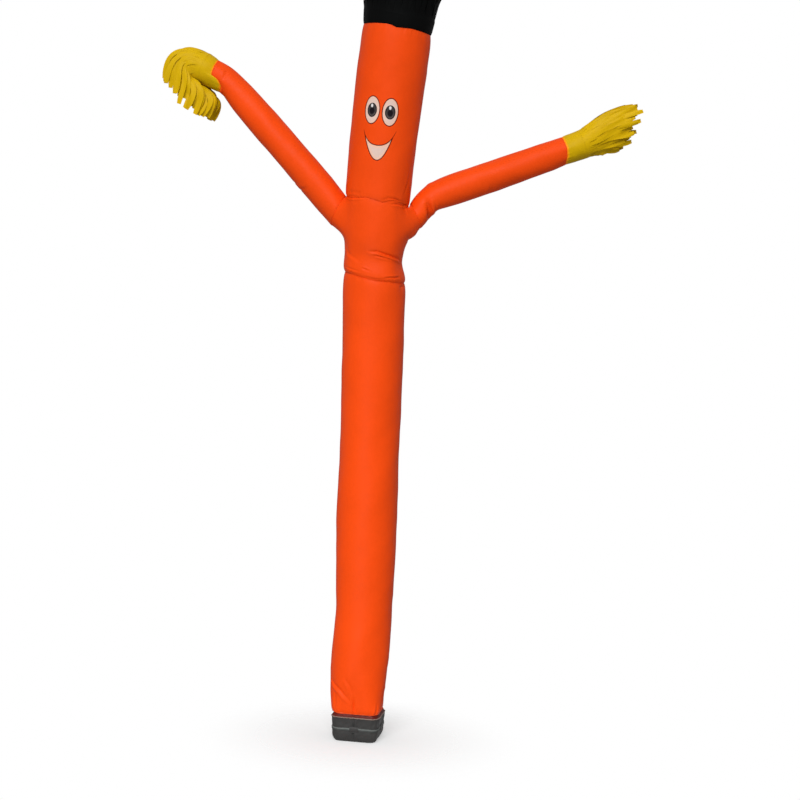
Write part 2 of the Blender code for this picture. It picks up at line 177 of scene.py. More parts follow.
RIGHT_ARM = Arm(
    name="right",
    side=1,
    sweep=math.radians(17),
    armpit=0.060,
    wrist=9,
    stations=[
        Station(0.289, 3.962, 0.098, 0.0),
        Station(0.339, 4.026, 0.097, 0.0),
        Station(0.388, 4.078, 0.102, 0.016),
        Station(0.442, 4.116, 0.112, 0.010),
        Station(0.543, 4.163, 0.116, 0.0),
        Station(0.731, 4.236, 0.117, 0.0),
        Station(0.908, 4.303, 0.115, 0.0),
        Station(1.084, 4.372, 0.112, 0.0),
        Station(1.261, 4.444, 0.109, 0.0),
        Station(1.405, 4.501, 0.101, 0.0),
        Station(1.446, 4.517, 0.106, 0.0),
        Station(1.486, 4.533, 0.108, 0.0),
        Station(1.523, 4.549, 0.109, 0.0),
    ],
)

# The orange hem ends over a recess that goes down to the cuff's rim.
HEM_TOP, HEM_RECESS, HEM_LIP = 0.219, 0.009, 0.0045
RIM, RIM_RECESS = 0.188, 0.007
RIM_FOLD = RIM + 0.0055
STITCH_INSET = 0.006  # from a seam to the row of stitches beside it

# What an angle round a tube is multiplied by, to be metres round its flat cloth.
CUFF_ROUND, LOWER_BODY_ROUND, TORSO_ROUND = 0.225, 0.228, 0.235
HEAD_ROUND, HAIR_BAND_ROUND = 0.254, 0.258
ARM_ROUND, HAND_ROUND = 0.114, 0.112
BODY_POINTS, ARM_POINTS = 240, 112  # how many points a ring of the body has, and one of an arm

BELT_HEIGHT, BELT_WIDTH, BELT_THICKNESS = 0.100, 0.020, 0.0025
LOOP_WIDTH, LOOP_HEIGHT, LOOP_CLOTH = 0.066, 0.048, 0.0016

# A fringe: how many ribbons it is slit into, how long they are, how much wider than its share of
# the band each one grows, and how finely it is drawn along and across.
Fringe = namedtuple("Fringe", "ribbons length widening steps across")
HAIR = Fringe(72, 0.42, 1.8, 24, 4)
LEFT_FRINGE = Fringe(48, 0.42, 2.6, 26, 5)
RIGHT_FRINGE = Fringe(48, 0.46, 2.6, 26, 5)
HAIR_ROOT_HEIGHT, HAND_ROOT_HEIGHT, ROOT_GAP = 0.020, 0.016, 0.0005
HAIR_BAND_GIRTH, HAND_BAND_GIRTH = 1.66, 0.72
# The shares of a ribbon's length by which it is at its full width and clear of its neighbours, and
# where its tip starts to taper, over what share and by how much.
WIDENED_BY, CLEAR_BY = 0.22, 0.12
TIP_START, TIP_SHARE, TIP_TAPER = 0.9, 0.1, 0.25

# A fold in taut cloth: the line that it follows as (metres round, height or length), how deep and
# how wide it is, how high the ridge beside it is, and on which side (1 or -1). A depth below 0 is a
# bulge.
Crease = namedtuple("Crease", "line depth width ridge side")


class DancerSizes(bpy.types.PropertyGroup):
    cloth: FloatProperty(
        name="Cloth", description="Thickness of the nylon", default=0.0008, unit="LENGTH"
    )
    cuff_cloth: FloatProperty(
        name="Cuff cloth", description="Thickness of the cuff", default=0.0022, unit="LENGTH"
    )
    allowance: FloatProperty(
        name="Seam allowance",
        description="How far the cloth is turned in at a seam",
        default=0.009,
        unit="LENGTH",
    )
    pucker: FloatProperty(
        name="Pucker", description="Height of the gathers at a seam", default=0.0032, unit="LENGTH"
    )
    flutter: FloatProperty(
        name="Flutter", description="How far ribbons wave", default=0.011, unit="LENGTH"
    )
    layer: FloatProperty(
        name="Layers", description="Room between ribbons that overlap", default=0.0016,
        unit="LENGTH",
    )
    ribbon_cloth: FloatProperty(
        name="Ribbon cloth", description="Thickness of the ribbons", default=0.0006, unit="LENGTH"
    )
    ripstop: FloatProperty(
        name="Ripstop grid", description="Pitch of the woven grid", default=0.006, unit="LENGTH"
    )
    stitch: FloatProperty(
        name="Stitch", description="Length of one stitch", default=0.0045, unit="LENGTH"
    )


def colour(name, description, default):
    return FloatVectorProperty(
        name=name, description=description, subtype="COLOR", size=4, min=0, max=1, default=default
    )


class DancerColours(bpy.types.PropertyGroup):
    orange: colour("Orange", "Nylon of the body, head and arms", (0.86, 0.068, 0.003, 1))
    yellow: colour("Yellow", "Nylon of the hands", (0.64, 0.40, 0.0015, 1))
    black: colour("Black", "Nylon of the hair", (0.003, 0.0033, 0.0033, 1))
    cuff: colour("Cuff", "Coated cloth of the cuff", (0.034, 0.033, 0.032, 1))
    belt: colour("Belt", "Webbing of the belt", (0.085, 0.095, 0.090, 1))
    print_pale: colour("Pale print", "Whites of the eyes and the teeth", (0.72, 0.53, 0.46, 1))
    print_dark: colour("Dark print", "Outlines of the printed face", (0.10, 0.006, 0.001, 1))
    floor: colour("Floor", "The studio floor", (0.90, 0.90, 0.90, 1))


WAVE_REACH = 0.05  # how far from a seam its waves are felt

# Surfaces as grids of points


def rounded_square(half, corner, degrees):
    """Points of rounded squares, centred on the origin, in the directions of those angles."""
    turn = np.radians(degrees)
    way = np.stack([np.cos(turn), np.sin(turn)], -1)
    flat = half / np.abs(way).max(-1)
    middle = half - corner
    centre = np.copysign(middle, way)
    along = (way * centre).sum(-1)
    reach = along + np.sqrt(np.maximum(along**2 - 2 * middle**2 + corner**2, 0))
    on_side = np.abs(way * flat[..., None]).min(-1) <= middle
    return way * np.where(on_side, flat, reach)[..., None]


def section_ring(section, degrees, grow=1.0):
    flat = rounded_square(section.half, section.corner, np.asarray(degrees, float))
    flat = flat * np.asarray(grow, float)[..., None]
    x = section.x + flat[..., 0]
    ring = np.stack([x, flat[..., 1], section.height - section.fall * x], -1)
    return ring + np.array(FOOT)


def spline(rings, where):
    """A smooth line of rings: a cubic B-spline whose ends are the first and the last one."""
    rings = np.asarray(rings, float)
    padded = np.concatenate([[2 * rings[0] - rings[1]], rings, [2 * rings[-1] - rings[-2]]])
    where = np.asarray(where, float)
    start = np.clip(where.astype(int), 0, len(rings) - 2)
    part = (where - start).reshape((-1,) + (1,) * (rings.ndim - 1))
    weights = (
        (1 - part) ** 3 / 6,
        (3 * part**3 - 6 * part**2 + 4) / 6,
        (3 * part + 3 * part**2 - 3 * part**3 + 1) / 6,
        part**3 / 6,
    )
    return sum(weight * padded[start + step] for step, weight in enumerate(weights))


def rows_between(low, high, spacing, edge=(0.0015, 0.0035, 0.006, 0.009, 0.013, 0.018, 0.024)):
    """Heights of a tube's rows, closer together at its two seams."""
    count = max(2, round((high - low - 2 * edge[-1]) / spacing))
    middle = np.linspace(low + edge[-1], high - edge[-1], count + 1)[1:-1]
    return np.concatenate([[low], low + np.array(edge), middle, high - np.array(edge)[::-1], [high]])


def places_of(values, wanted):
    """Where on a spline of those values each wanted one lies."""
    fine = np.linspace(0, len(values) - 1, 40 * len(values))
    return np.interp(wanted, spline(values, fine), fine)


def body_grid(sections, columns, spacing, low_wave=None, high_wave=None, more=()):
    """Points of a body tube, the columns starting at its back, with each one's own coordinates."""
    heights = np.union1d(rows_between(sections[0].height, sections[-1].height, spacing), more)
    degrees = 90 + 360 * np.arange(columns) / columns
    rings = [section_ring(section, degrees) for section in sections]
    points = spline(rings, places_of([s.height for s in sections], heights))
    degrees = degrees - 270
    low = seam_wave(degrees, low_wave or STRAIGHT)
    high = seam_wave(degrees, high_wave or STRAIGHT)
    points[..., 2] += low * np.exp((heights[0] - heights) / WAVE_REACH)[:, None]
    points[..., 2] += high * np.exp((heights - heights[-1]) / WAVE_REACH)[:, None]
    return points, degrees, heights


def station_frame(arm, index):
    """Centre, direction, upper and sideways axes of one ring of an arm or its hand."""
    outward = Vector((arm.side * math.cos(arm.sweep), math.sin(arm.sweep), 0))
    here = arm.stations[index]
    last = len(arm.stations) - 1
    before, after = arm.stations[max(index - 1, 0)], arm.stations[min(index + 1, last)]
    direction = outward * (after.out - before.out) + Vector((0, 0, after.height - before.height))
    direction.normalize()
    if index == 0:
        direction = (direction + outward).normalized()
    upper = Vector((0, 0, 1)) - direction * direction.z
    upper.normalize()
    centre = FOOT + Vector((NECK_SEAM.x, 0, here.height)) + outward * here.out
    return centre, direction, upper, direction.cross(upper)


def station_ring(arm, index, degrees, grow=1.0):
    centre, _, upper, sideways = (np.array(axis) for axis in station_frame(arm, index))
    turn = np.radians(np.asarray(degrees, float))[..., None]
    underside = (1 - np.cos(turn)) / 2
    radius = arm.stations[index].radius * np.asarray(grow, float).reshape(-1, 1)
    ring = centre + (upper * np.cos(turn) + sideways * np.sin(turn)) * radius
    return ring + upper * arm.stations[index].pinch * underside**3


def arm_grid(arm, first, last, columns, spacing, low_wave=None, high_wave=None, reach=0.16):
    """Points of an arm or a hand, the columns starting at its back, as body_grid gives them."""
    start = 180 + 90 * arm.side
    degrees = start + 360 * np.arange(columns) / columns
    rings = [station_ring(arm, index, degrees) for index in range(first, last + 1)]
    steps = [
        math.dist((a.out, a.height), (b.out, b.height))
        for a, b in zip(arm.stations[first:last], arm.stations[first + 1 : last + 1])
    ]
    along = np.concatenate([[0], np.cumsum(steps)])
    lengths = rows_between(0, along[-1], spacing)
    points = spline(rings, places_of(along, lengths))
    degrees = degrees - start - 180
    ahead = np.gradient(points.mean(axis=1), axis=0)
    ahead /= np.linalg.norm(ahead, axis=1, keepdims=True)
    near_low = np.clip(1 - lengths / reach, 0, 1)[:, None]
    near_high = np.clip(1 - (lengths[-1] - lengths) / reach, 0, 1)[:, None]
    slide = seam_wave(degrees, low_wave or STRAIGHT) * near_low
    slide = slide + seam_wave(degrees, high_wave or STRAIGHT) * near_high
    return points + ahead[:, None] * slide[..., None], degrees, lengths


# Relief of the cloth


def waves(*terms):
    """A sum of waves. A term is (height, length round, length along, where it starts)."""

    def relief(around, along):
        return sum(
            height * np.sin(math.tau * (around / across + along / length) + start)
            for height, across, length, start in terms
        )

    return relief


SOFT_DENTS = waves(
    (0.0016, 0.48, 1.9, 0.3),
    (0.0012, -0.36, 0.83, 1.9),
    (0.0009, 0.29, -0.51, 4.2),
    (0.0006, 0.72, 0.27, 2.6),
    (0.0004, -0.21, 0.19, 0.8),
)


def gathers(around, distance, height, start):
    """Uneven little gathers that fade with the distance from a seam."""
    fine = np.sin(math.tau * around / 0.036 + start + 1.7 * np.sin(around * 19 + start))
    coarse = np.sin(math.tau * around / 0.083 + 2.1 * start)
    amount = 0.45 + 0.55 * np.sin(around * 7.3 + start * 3)
    near = np.exp(-distance / 0.020)
    wide = np.exp(-distance / 0.055)
    return height * (fine * near * np.maximum(amount, 0) + 0.55 * coarse * wide)


def off_middle(around):
    """The neck seam hardly puckers in the middle of the front."""
    return 1 - 0.9 * np.exp(-(((around - 0.015) / 0.075) ** 2))


def held(*distances, reach=0.005):
    """0 on a seam and 1 away from it: relief times this leaves two sewn edges where they meet."""
    share = 1.0
    for distance in distances:
        share = share * (1 - np.exp(-np.maximum(distance, 0) / reach))
    return share


def step_down(distance, softness, height=1.0):
    """The height where the distance is well below 0, and nothing where it is well above."""
    return height / (1 + np.exp(np.minimum(distance / softness, 500)))


def neck_reach(around):
    """The neck's relief is held back further in the middle of the front."""
    return 0.005 + 0.030 * (1 - off_middle(around))


def waist_reach(around):
    """The waist's relief is held back further, but for the right side."""
    return 0.005 + step_down(around - 0.19, 0.015, 0.022)


def seam_wave(degrees, table):
    """How far a seam lies over its straight line, from a table of (degrees, metres)."""
    marks, heights = zip(*table)
    return np.interp(degrees, marks, heights, period=360)


WAIST_WAVE = [(-70, 0.004), (-40, 0.005), (-10, -0.003), (15, -0.004), (40, 0.004), (75, 0.001),
              (180, 0.0)]
NECK_WAVE = [(-95, 0.0), (-62, -0.018), (-31, -0.007), (-11, 0.006), (4, 0.0), (19, -0.010),
             (30, 0.008), (41, 0.016), (61, 0.009), (85, 0.0), (180, 0.003)]
BROW_WAVE = [(-100, 0.0), (-57, 0.003), (-30, 0.014), (-9, 0.022), (0, 0.020), (8, 0.008),
             (20, 0.014), (35, 0.020), (60, 0.014), (82, 0.009), (120, 0.004), (180, 0.0)]
# Round an arm 0 is the front, and positive is down on the right arm and up on the left one.
WRIST_WAVES = {
    "left": [(-130, -0.040), (-90, -0.085), (-49, -0.087), (-26, -0.078), (-10, -0.038), (-8, 0.020),
             (4, 0.030), (35, 0.042), (79, 0.054), (130, 0.035), (180, 0.0)],
    "right": [(-90, 0.0), (-63, -0.005), (-10, -0.008), (25, -0.023), (49, -0.041), (90, -0.042),
              (180, -0.010)],
}
STRAIGHT = [(0, 0.0), (180, 0.0)]


def crease_relief(creases, around, along):
    """How far the listed folds push the cloth in or out. Both coordinates are in metres."""
    total = np.zeros(np.broadcast(around, along).shape)
    for crease in creases:
        line = np.array(crease.line)
        lengths = np.hypot(*np.diff(line, axis=0).T)
        marks = np.concatenate([[0], np.cumsum(lengths)]) / lengths.sum()
        nearest = np.full(total.shape, 1e9)
        offset = np.zeros(total.shape)
        share = np.zeros(total.shape)
        for (a, b), low, high in zip(zip(line, line[1:]), marks, marks[1:]):
            edge = b - a
            part = ((around - a[0]) * edge[0] + (along - a[1]) * edge[1]) / (edge @ edge)
            part = np.clip(part, 0, 1)
            across = around - a[0] - part * edge[0], along - a[1] - part * edge[1]
            distance = np.hypot(*across)
            sign = np.where(edge[0] * across[1] - edge[1] * across[0] >= 0, 1, -1)
            closer = distance < nearest
            nearest = np.where(closer, distance, nearest)
            offset = np.where(closer, sign * distance, offset)
            share = np.where(closer, low + part * (high - low), share)
        fade = np.sin(np.pi * np.clip(share, 0.02, 0.98)) ** 0.6
        fade = fade * np.exp(-np.maximum(nearest - crease.width * 3, 0) / crease.width)
        groove = np.exp(-((nearest / crease.width) ** 2))
        ridge = np.exp(-(((offset - crease.side * crease.width * 1.9) / (crease.width * 1.1)) ** 2))
        total += fade * (crease.ridge * ridge - crease.depth * groove)
    return total


def fell_seam(around, place, width=0.012, height=0.0012):
    """The doubled cloth of a lengthwise seam."""
    return step_down(np.abs(around - place) - width / 2, 0.0012, height)


# Meshes


def grid_normals(points):
    """Outward normals of a grid that is closed round its columns."""
    across = np.roll(points, -1, axis=1) - np.roll(points, 1, axis=1)
    up = np.gradient(points, axis=0)
    normal = np.cross(across, up)
    return normal / np.maximum(np.linalg.norm(normal, axis=2, keepdims=True), 1e-9)


def turned_in(points, normals, allowance, ends):
    """The grid with its open ends turned in, as the allowance of a seam."""
    rows = [points]
    if ends[0]:
        rows.insert(0, (points[0] - normals[0] * allowance)[None])
    if ends[1]:
        rows.append((points[-1] - normals[-1] * allowance)[None])
    return np.concatenate(rows)


def mesh_object(name, points, faces, uvs, material):
    """An object at the origin, with its cloth coordinates in metres in a UV map."""
    mesh = bpy.data.meshes.new(name)
    mesh.from_pydata(points.reshape(-1, 3).tolist(), [], faces.tolist())
    layer = mesh.uv_layers.new(name="cloth")
    layer.data.foreach_set("uv", uvs.reshape(-1))
    mesh.materials.append(material)
    mesh.update()
    obj = bpy.data.objects.new(name, mesh)
    bpy.context.scene.collection.objects.link(obj)
    return obj


def only(*objects):
    """Selects those objects alone, and makes the first the active one."""
    bpy.ops.object.select_all(action="DESELECT")
    for obj in objects:
        obj.select_set(True)
    if objects:
        bpy.context.view_layer.objects.active = objects[0]


def apply_modifier(obj, kind, **settings):
    only(obj)
    modifier = obj.modifiers.new(kind, kind)
    for name, value in settings.items():
        setattr(modifier, name, value)
    bpy.ops.object.modifier_apply(modifier=modifier.name)


def give_thickness(obj, thickness, offset=-1.0, crisp=50):
    apply_modifier(obj, "SOLIDIFY", thickness=thickness, offset=offset)
    only(obj)
    bpy.ops.object.shade_smooth_by_angle(angle=math.radians(crisp))


def sew_tube(name, points, around, along, material, ends=(True, True), thickness=None, offset=-1.0):
    """A tube of cloth from a grid. around and along are its coordinates on the flat cloth."""
    sizes = bpy.context.scene.dancer_sizes
    normals = grid_normals(points)
    points = turned_in(points, normals, sizes.allowance, ends)
    step = around[1] - around[0]
    around = np.append(around, around[-1] + step)
    if ends[0]:
        along = np.concatenate([[along[0] - sizes.allowance], along])
    if ends[1]:
        along = np.concatenate([along, [along[-1] + sizes.allowance]])
    rows, columns = points.shape[:2]
    row, column = np.meshgrid(np.arange(rows - 1), np.arange(columns), indexing="ij")
    corners = [(row, column), (row, column + 1), (row + 1, column + 1), (row + 1, column)]
    faces = np.stack([r * columns + c % columns for r, c in corners], -1).reshape(-1, 4)
    uvs = np.stack([np.stack([around[c], along[r]], -1) for r, c in corners], 2)
    obj = mesh_object(name, points, faces, uvs, material)
    give_thickness(obj, thickness or sizes.cloth, offset)
    return obj


def finish_piece(obj, slot, *nodes, flat=None, held="stretched", **facts):
    """Hangs a piece on the root and hides the parts it stands for; its slot and cloth size are not used."""
    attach(obj, "root")
    if nodes:
        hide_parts(*nodes)


# Materials

NOISE = (0.3, 0.7)  # nearly all of a noise texture's values lie between these

# Colours that belong to one detail: linear red, green and blue.
# Painted highlight on the cuff's rim.
PAINTED_RIM_HIGHLIGHT = (0.24, 0.16, 0.13, 1)
# Dark red over the cuff's rim: the orange fold's colour with painted shade.
ORANGE_FOLD_IN_PAINTED_SHADE = (0.10, 0.006, 0.002, 1)
WRIST_HEM = (0.90, 0.33, 0.004, 1)
# Painted highlight along the lower tube's hem lip.
PAINTED_LIP_HIGHLIGHT = (0.95, 0.23, 0.09, 1)
EYE_EDGE = (0.80, 0.50, 0.38, 1)
IRIS_OUTER = (0.022, 0.017, 0.018, 1)
IRIS_UPPER = (0.045, 0.040, 0.040, 1)
IRIS_LOWER = (0.115, 0.090, 0.085, 1)
IRIS_INNER = (0.050, 0.042, 0.044, 1)
PUPIL = (0.008, 0.005, 0.008, 1)
GLINT = (0.75, 0.72, 0.72, 1)
TEETH_EDGE = (0.86, 0.50, 0.36, 1)


class Nodes:
    """A material's node tree, built one node at a time."""

    def __init__(self, name):
        self.take(bpy.data.materials.new(name))

    @classmethod
    def over(cls, material):
        nodes = cls.__new__(cls)
        nodes.take(material)
        return nodes

    def take(self, material):
        self.material = material
        material.use_nodes = True
        self.tree = material.node_tree
        self.shader = self.tree.nodes["Principled BSDF"]

    def add(self, kind, inputs=(), **settings):
        node = self.tree.nodes.new("ShaderNode" + kind)
        for name, value in settings.items():
            setattr(node, name, value)
        for socket, value in dict(inputs).items():
            self.put(node, socket, value)
        return node

    def end(self, shader):
        self.put(self.tree.nodes["Material Output"], "Surface", shader)

    def put(self, node, socket, value):
        if isinstance(value, bpy.types.NodeSocket):
            self.tree.links.new(value, node.inputs[socket])
        elif isinstance(value, bpy.types.Node):
            self.tree.links.new(value.outputs[0], node.inputs[socket])
        else:
            node.inputs[socket].default_value = value

    def math(self, operation, *values):
        return self.add("Math", dict(enumerate(values)), operation=operation).outputs[0]

    def vector(self, operation, *values):
        node = self.add("VectorMath", dict(enumerate(values)), operation=operation)
        return node.outputs["Value" if operation == "LENGTH" else "Vector"]

    def mix(self, amount, one, other):
        node = self.add("Mix", data_type="RGBA")
        for socket, value in (("Factor", amount), ("A", one), ("B", other)):
            place = next(
                i for i, s in enumerate(node.inputs) if s.name == socket and s.enabled
            )
            self.put(node, place, value)
        return next(s for s in node.outputs if s.enabled)

    def spread(self, value, low, high, to_low=0.0, to_high=1.0, smooth=False):
        kind = "SMOOTHSTEP" if smooth else "LINEAR"
        inputs = {0: value, 1: low, 2: high, 3: to_low, 4: to_high}
        return self.add("MapRange", inputs, interpolation_type=kind).outputs[0]

    def place(self):
        """Where a point of the surface is in the room."""
        return self.add("TexCoord").outputs["Object"]

    def cloth_place(self):
        """Where a point of the surface is on its flat cloth, in metres."""
        return self.add("UVMap", uv_map="cloth").outputs[0]


def shade(rgba, amount):
    return (*(channel * amount for channel in rgba[:3]), 1)


def stitched_rows(nodes, place, seams):
    """1 on the stitches that run round a tube at those heights of its flat cloth."""
    parts = nodes.add("SeparateXYZ", {0: place})
    stitch = bpy.context.scene.dancer_sizes.stitch
    part = nodes.math("FRACT", nodes.math("DIVIDE", parts.outputs[0], stitch))
    dash = nodes.spread(nodes.math("ABSOLUTE", nodes.math("SUBTRACT", part, 0.5)), 0.40, 0.32)
    rows = 0.0
    for seam in seams:
        off = nodes.math("ABSOLUTE", nodes.math("SUBTRACT", parts.outputs[1], seam))
        rows = nodes.math("MAXIMUM", nodes.spread(off, 0.0009, 0.0004), rows)
    return nodes.math("MULTIPLY", rows, dash)


def woven_cloth(
    nodes, base, pitch, faded=0.06, wrinkles=0.5, roughness=0.46, gloss=0.1, seams=()
):
    """Fine weave with a raised ripstop grid, soft wrinkles and a slightly uneven dye."""
    place = nodes.cloth_place()
    thread = stitched_rows(nodes, place, seams) if seams else None
    body = nodes.place()
    grid = nodes.add(
        "TexBrick",
        {"Vector": place, "Scale": 100, "Mortar Size": 0.035, "Mortar Smooth": 0.3,
         "Brick Width": pitch * 100, "Row Height": pitch * 100},
        offset=0.0,
    )
    threads = nodes.add("TexBrick", {"Vector": place, "Scale": 900, "Mortar Size": 0.12,
                                     "Mortar Smooth": 1.0, "Brick Width": 1.0, "Row Height": 0.5})
    dye = nodes.add("TexNoise", {"Vector": body, "Scale": 2.3, "Detail": 3.0, "Roughness": 0.55})
    wear = nodes.add("TexNoise", {"Vector": body, "Scale": 31.0, "Detail": 4.0})
    crinkle = nodes.add("TexNoise", {"Vector": body, "Scale": 46.0, "Detail": 3.0,
                                     "Distortion": 0.6})
    tone = nodes.spread(dye.outputs[0], *NOISE, 1 - faded, 1 + faded * 0.5)
    tone = nodes.math("MULTIPLY", tone, nodes.spread(wear.outputs[0], *NOISE, 0.985, 1.015))
    line = nodes.spread(grid.outputs["Fac"], 0.0, 1.0, 1.0, 0.95)
    tone = nodes.math("MULTIPLY", tone, line)
    if thread:
        tone = nodes.math("MULTIPLY", tone, nodes.spread(thread, 0.0, 1.0, 1.0, 0.72))
    grey = nodes.add("CombineColor", {0: tone, 1: tone, 2: tone})
    tinted = nodes.add("Mix", data_type="RGBA", blend_type="MULTIPLY")
    for socket, value in ((0, 1.0), (6, base), (7, grey)):
        nodes.put(tinted, socket, value)
    nodes.put(nodes.shader, "Base Color", tinted.outputs[2])
    nodes.put(
        nodes.shader,
        "Roughness",
        nodes.spread(wear.outputs[0], *NOISE, roughness - 0.05, roughness + 0.07),
    )
    nodes.put(nodes.shader, "Specular IOR Level", gloss)
    fold = nodes.add("Bump", {"Strength": wrinkles, "Distance": 0.002,
                              "Height": crinkle.outputs[0]})
    raised = nodes.add("Bump", {"Strength": 0.5, "Distance": 0.0002, "Normal": fold,
                                "Height": grid.outputs["Fac"]})
    weave = nodes.add("Bump", {"Strength": 0.35, "Distance": 0.0001, "Normal": raised,
                               "Height": threads.outputs["Fac"]})
    if thread:
        sewn = {"Strength": 0.8, "Distance": 0.0006, "Normal": weave, "Height": thread}
        weave = nodes.add("Bump", sewn)
    nodes.put(nodes.shader, "Normal", weave)
    return nodes.material


def nylon(name, base, **settings):
    """The material of that name, made once."""
    made = bpy.data.materials.get(name)
    if made:
        return made
    pitch = bpy.context.scene.dancer_sizes.ripstop
    return woven_cloth(Nodes(name), tuple(base), pitch, **settings)


def orange_nylon(piece, *seams):
    """The body's nylon, stitched round the piece at those heights of its flat cloth."""
    return nylon(f"orange nylon, {piece}", bpy.context.scene.dancer_colours.orange, seams=seams)


def yellow_nylon():
    base = bpy.context.scene.dancer_colours.yellow
    return nylon("yellow nylon", base, faded=0.08, gloss=0.07)


def black_nylon(piece, *seams):
    base = bpy.context.scene.dancer_colours.black
    settings = {"faded": 0.2, "roughness": 0.55, "gloss": 0.04, "seams": seams}
    return nylon(f"black nylon, {piece}", base, **settings)


def cuff_cloth():
    base = bpy.context.scene.dancer_colours.cuff
    return nylon("coated cuff cloth", base, faded=0.25, wrinkles=0.8, roughness=0.5, gloss=0.25)


def striped(made, low, high, rgba):
    """Paints a stripe round a tube's cloth, between two heights of its flat cloth."""
    nodes = Nodes.over(made)
    along = nodes.add("SeparateXYZ", {0: nodes.cloth_place()}).outputs[1]
    wobble = nodes.add("TexNoise", {"Vector": nodes.cloth_place(), "Scale": 60.0, "Detail": 2.0})
    along = nodes.math("ADD", along, nodes.spread(wobble.outputs[0], *NOISE, -0.0012, 0.0012))
    middle, half = (low + high) / 2, (high - low) / 2
    off = nodes.math("ABSOLUTE", nodes.math("SUBTRACT", along, middle))
    mask = nodes.spread(off, half + 0.001, half - 0.001, smooth=True)
    cloth = nodes.shader.inputs["Base Color"].links[0].from_socket
    nodes.put(nodes.shader, "Base Color", nodes.mix(mask, cloth, rgba))
    return made


def rimmed_cuff_cloth():
    """The cuff's cloth with a painted highlight on its rim, and the orange fold above it in painted shade.
    """
    base = tuple(bpy.context.scene.dancer_colours.cuff)
    name = "rimmed cuff cloth"
    made = bpy.data.materials.get(name)
    if made:
        return made
    settings = {"faded": 0.25, "wrinkles": 0.8, "roughness": 0.5, "gloss": 0.25}
    made = nylon(name, base, seams=(0.014, RIM - 0.007), **settings)
    # A pale stripe on the rim: painted highlight.
    made = striped(made, RIM - 0.0015, RIM + 0.0045, PAINTED_RIM_HIGHLIGHT)
    # Dark red from the rim up: the orange fold's colour, darkened as painted shade.
    return striped(made, RIM_FOLD, 0.300, ORANGE_FOLD_IN_PAINTED_SHADE)


def hemmed_yellow_nylon():
    """The hands' nylon, with the orange thread and fold of the wrist seam along its edge."""
    name = "hemmed yellow nylon"
    made = bpy.data.materials.get(name)
    if made:
        return made
    base = bpy.context.scene.dancer_colours.yellow
    made = nylon(name, base, faded=0.14, gloss=0.07, seams=(0.007,))
    return striped(made, -0.012, 0.012, WRIST_HEM)


def hemmed_orange_nylon():
    """The lower tube's nylon, with a painted highlight along the lip of its hem over the cuff."""
    name = "hemmed orange nylon"
    made = bpy.data.materials.get(name)
    if made:
        return made
    seams = (HEM_TOP + 0.010, WAIST_SEAM.height - STITCH_INSET)
    made = nylon(name, bpy.context.scene.dancer_colours.orange, seams=seams)
    # A pale stripe on the hem's lip: painted highlight.
    return striped(made, HEM_TOP + 0.0015, HEM_TOP + 0.005, PAINTED_LIP_HIGHLIGHT)


def belt_webbing():
    """Grey webbing with ribs along it, a painted highlight on top and painted shade below and in rib
    grooves.
    """
    made = bpy.data.materials.get("belt webbing")
    if made:
        return made
    nodes = Nodes("belt webbing")
    base = tuple(bpy.context.scene.dancer_colours.belt)
    place = nodes.cloth_place()
    parts = nodes.add("SeparateXYZ", {0: place})
    ribs = nodes.add("TexWave", {"Vector": place, "Scale": 95.0, "Distortion": 0.4, "Detail Scale": 8.0},
                     bands_direction="DIAGONAL")
    threads = nodes.add("TexWave", {"Vector": place, "Scale": 260.0}, bands_direction="Y")
    soil = nodes.add("TexNoise", {"Vector": nodes.place(), "Scale": 22.0, "Detail": 4.0})
    from_middle = nodes.math("ABSOLUTE", nodes.math("SUBTRACT", parts.outputs[1], BELT_HEIGHT))
    # Both edges painted paler as a highlight; the lower one is then covered by the lower half's shade.
    edge = nodes.spread(from_middle, 0.0065, 0.0095, smooth=True)
    painted = nodes.mix(nodes.spread(soil.outputs[0], 0.35, 0.7), shade(base, 1.25), shade(base, 0.8))
    painted = nodes.mix(edge, painted, shade(base, 1.6))
    # The lower half is painted shade: the webbing's colour at a third.
    upper = nodes.spread(parts.outputs[1], BELT_HEIGHT - 0.001, BELT_HEIGHT + 0.002, smooth=True)
    painted = nodes.mix(upper, shade(base, 0.32), painted)
    # Darker where the ribs' bump is low: painted shade in their grooves.
    rib_groove_shade = nodes.mix(nodes.spread(ribs.outputs["Fac"], 0.0, 1.0, 0.25, 0.0), painted, shade(base, 0.5))
    nodes.put(nodes.shader, "Base Color", rib_groove_shade)
    nodes.put(nodes.shader, "Roughness", nodes.spread(soil.outputs[0], *NOISE, 0.5, 0.68))
    coarse = nodes.add("Bump", {"Strength": 0.7, "Distance": 0.0004, "Height": ribs.outputs["Fac"]})
    fine = nodes.add("Bump", {"Strength": 0.4, "Distance": 0.0002, "Normal": coarse,
                              "Height": threads.outputs["Fac"]})
    nodes.put(nodes.shader, "Normal", fine)
    return nodes.material


# The printed face, on the head's flat cloth: middle and half sizes of each oval, in metres.
EYES = ((-0.0705, 4.718), (0.0655, 4.7145))
EYE_HALF, EYE_OUTLINE = (0.0615, 0.104), 0.007
IRIS_HALF, IRIS_SINK = (0.038, 0.0515), 0.001
PUPIL_HALF, PUPIL_SINK = (0.0195, 0.024), 0.006
GLINT_HALF, GLINT_RISE = (0.0085, 0.0125), 0.031
# The smile's two lines, as height = a + b r + c r^2 + d r^3 + e r^4, with r metres round the head.
UPPER_LIP = (4.4667, 0.0428, 3.794, 0.0, 196.8)
LOWER_LIP = (4.3585, -0.0889, 15.55, 17.4, 0.0)
SMILE_ENDS = (-0.124, 0.126)
LIP_LINE = 0.0036


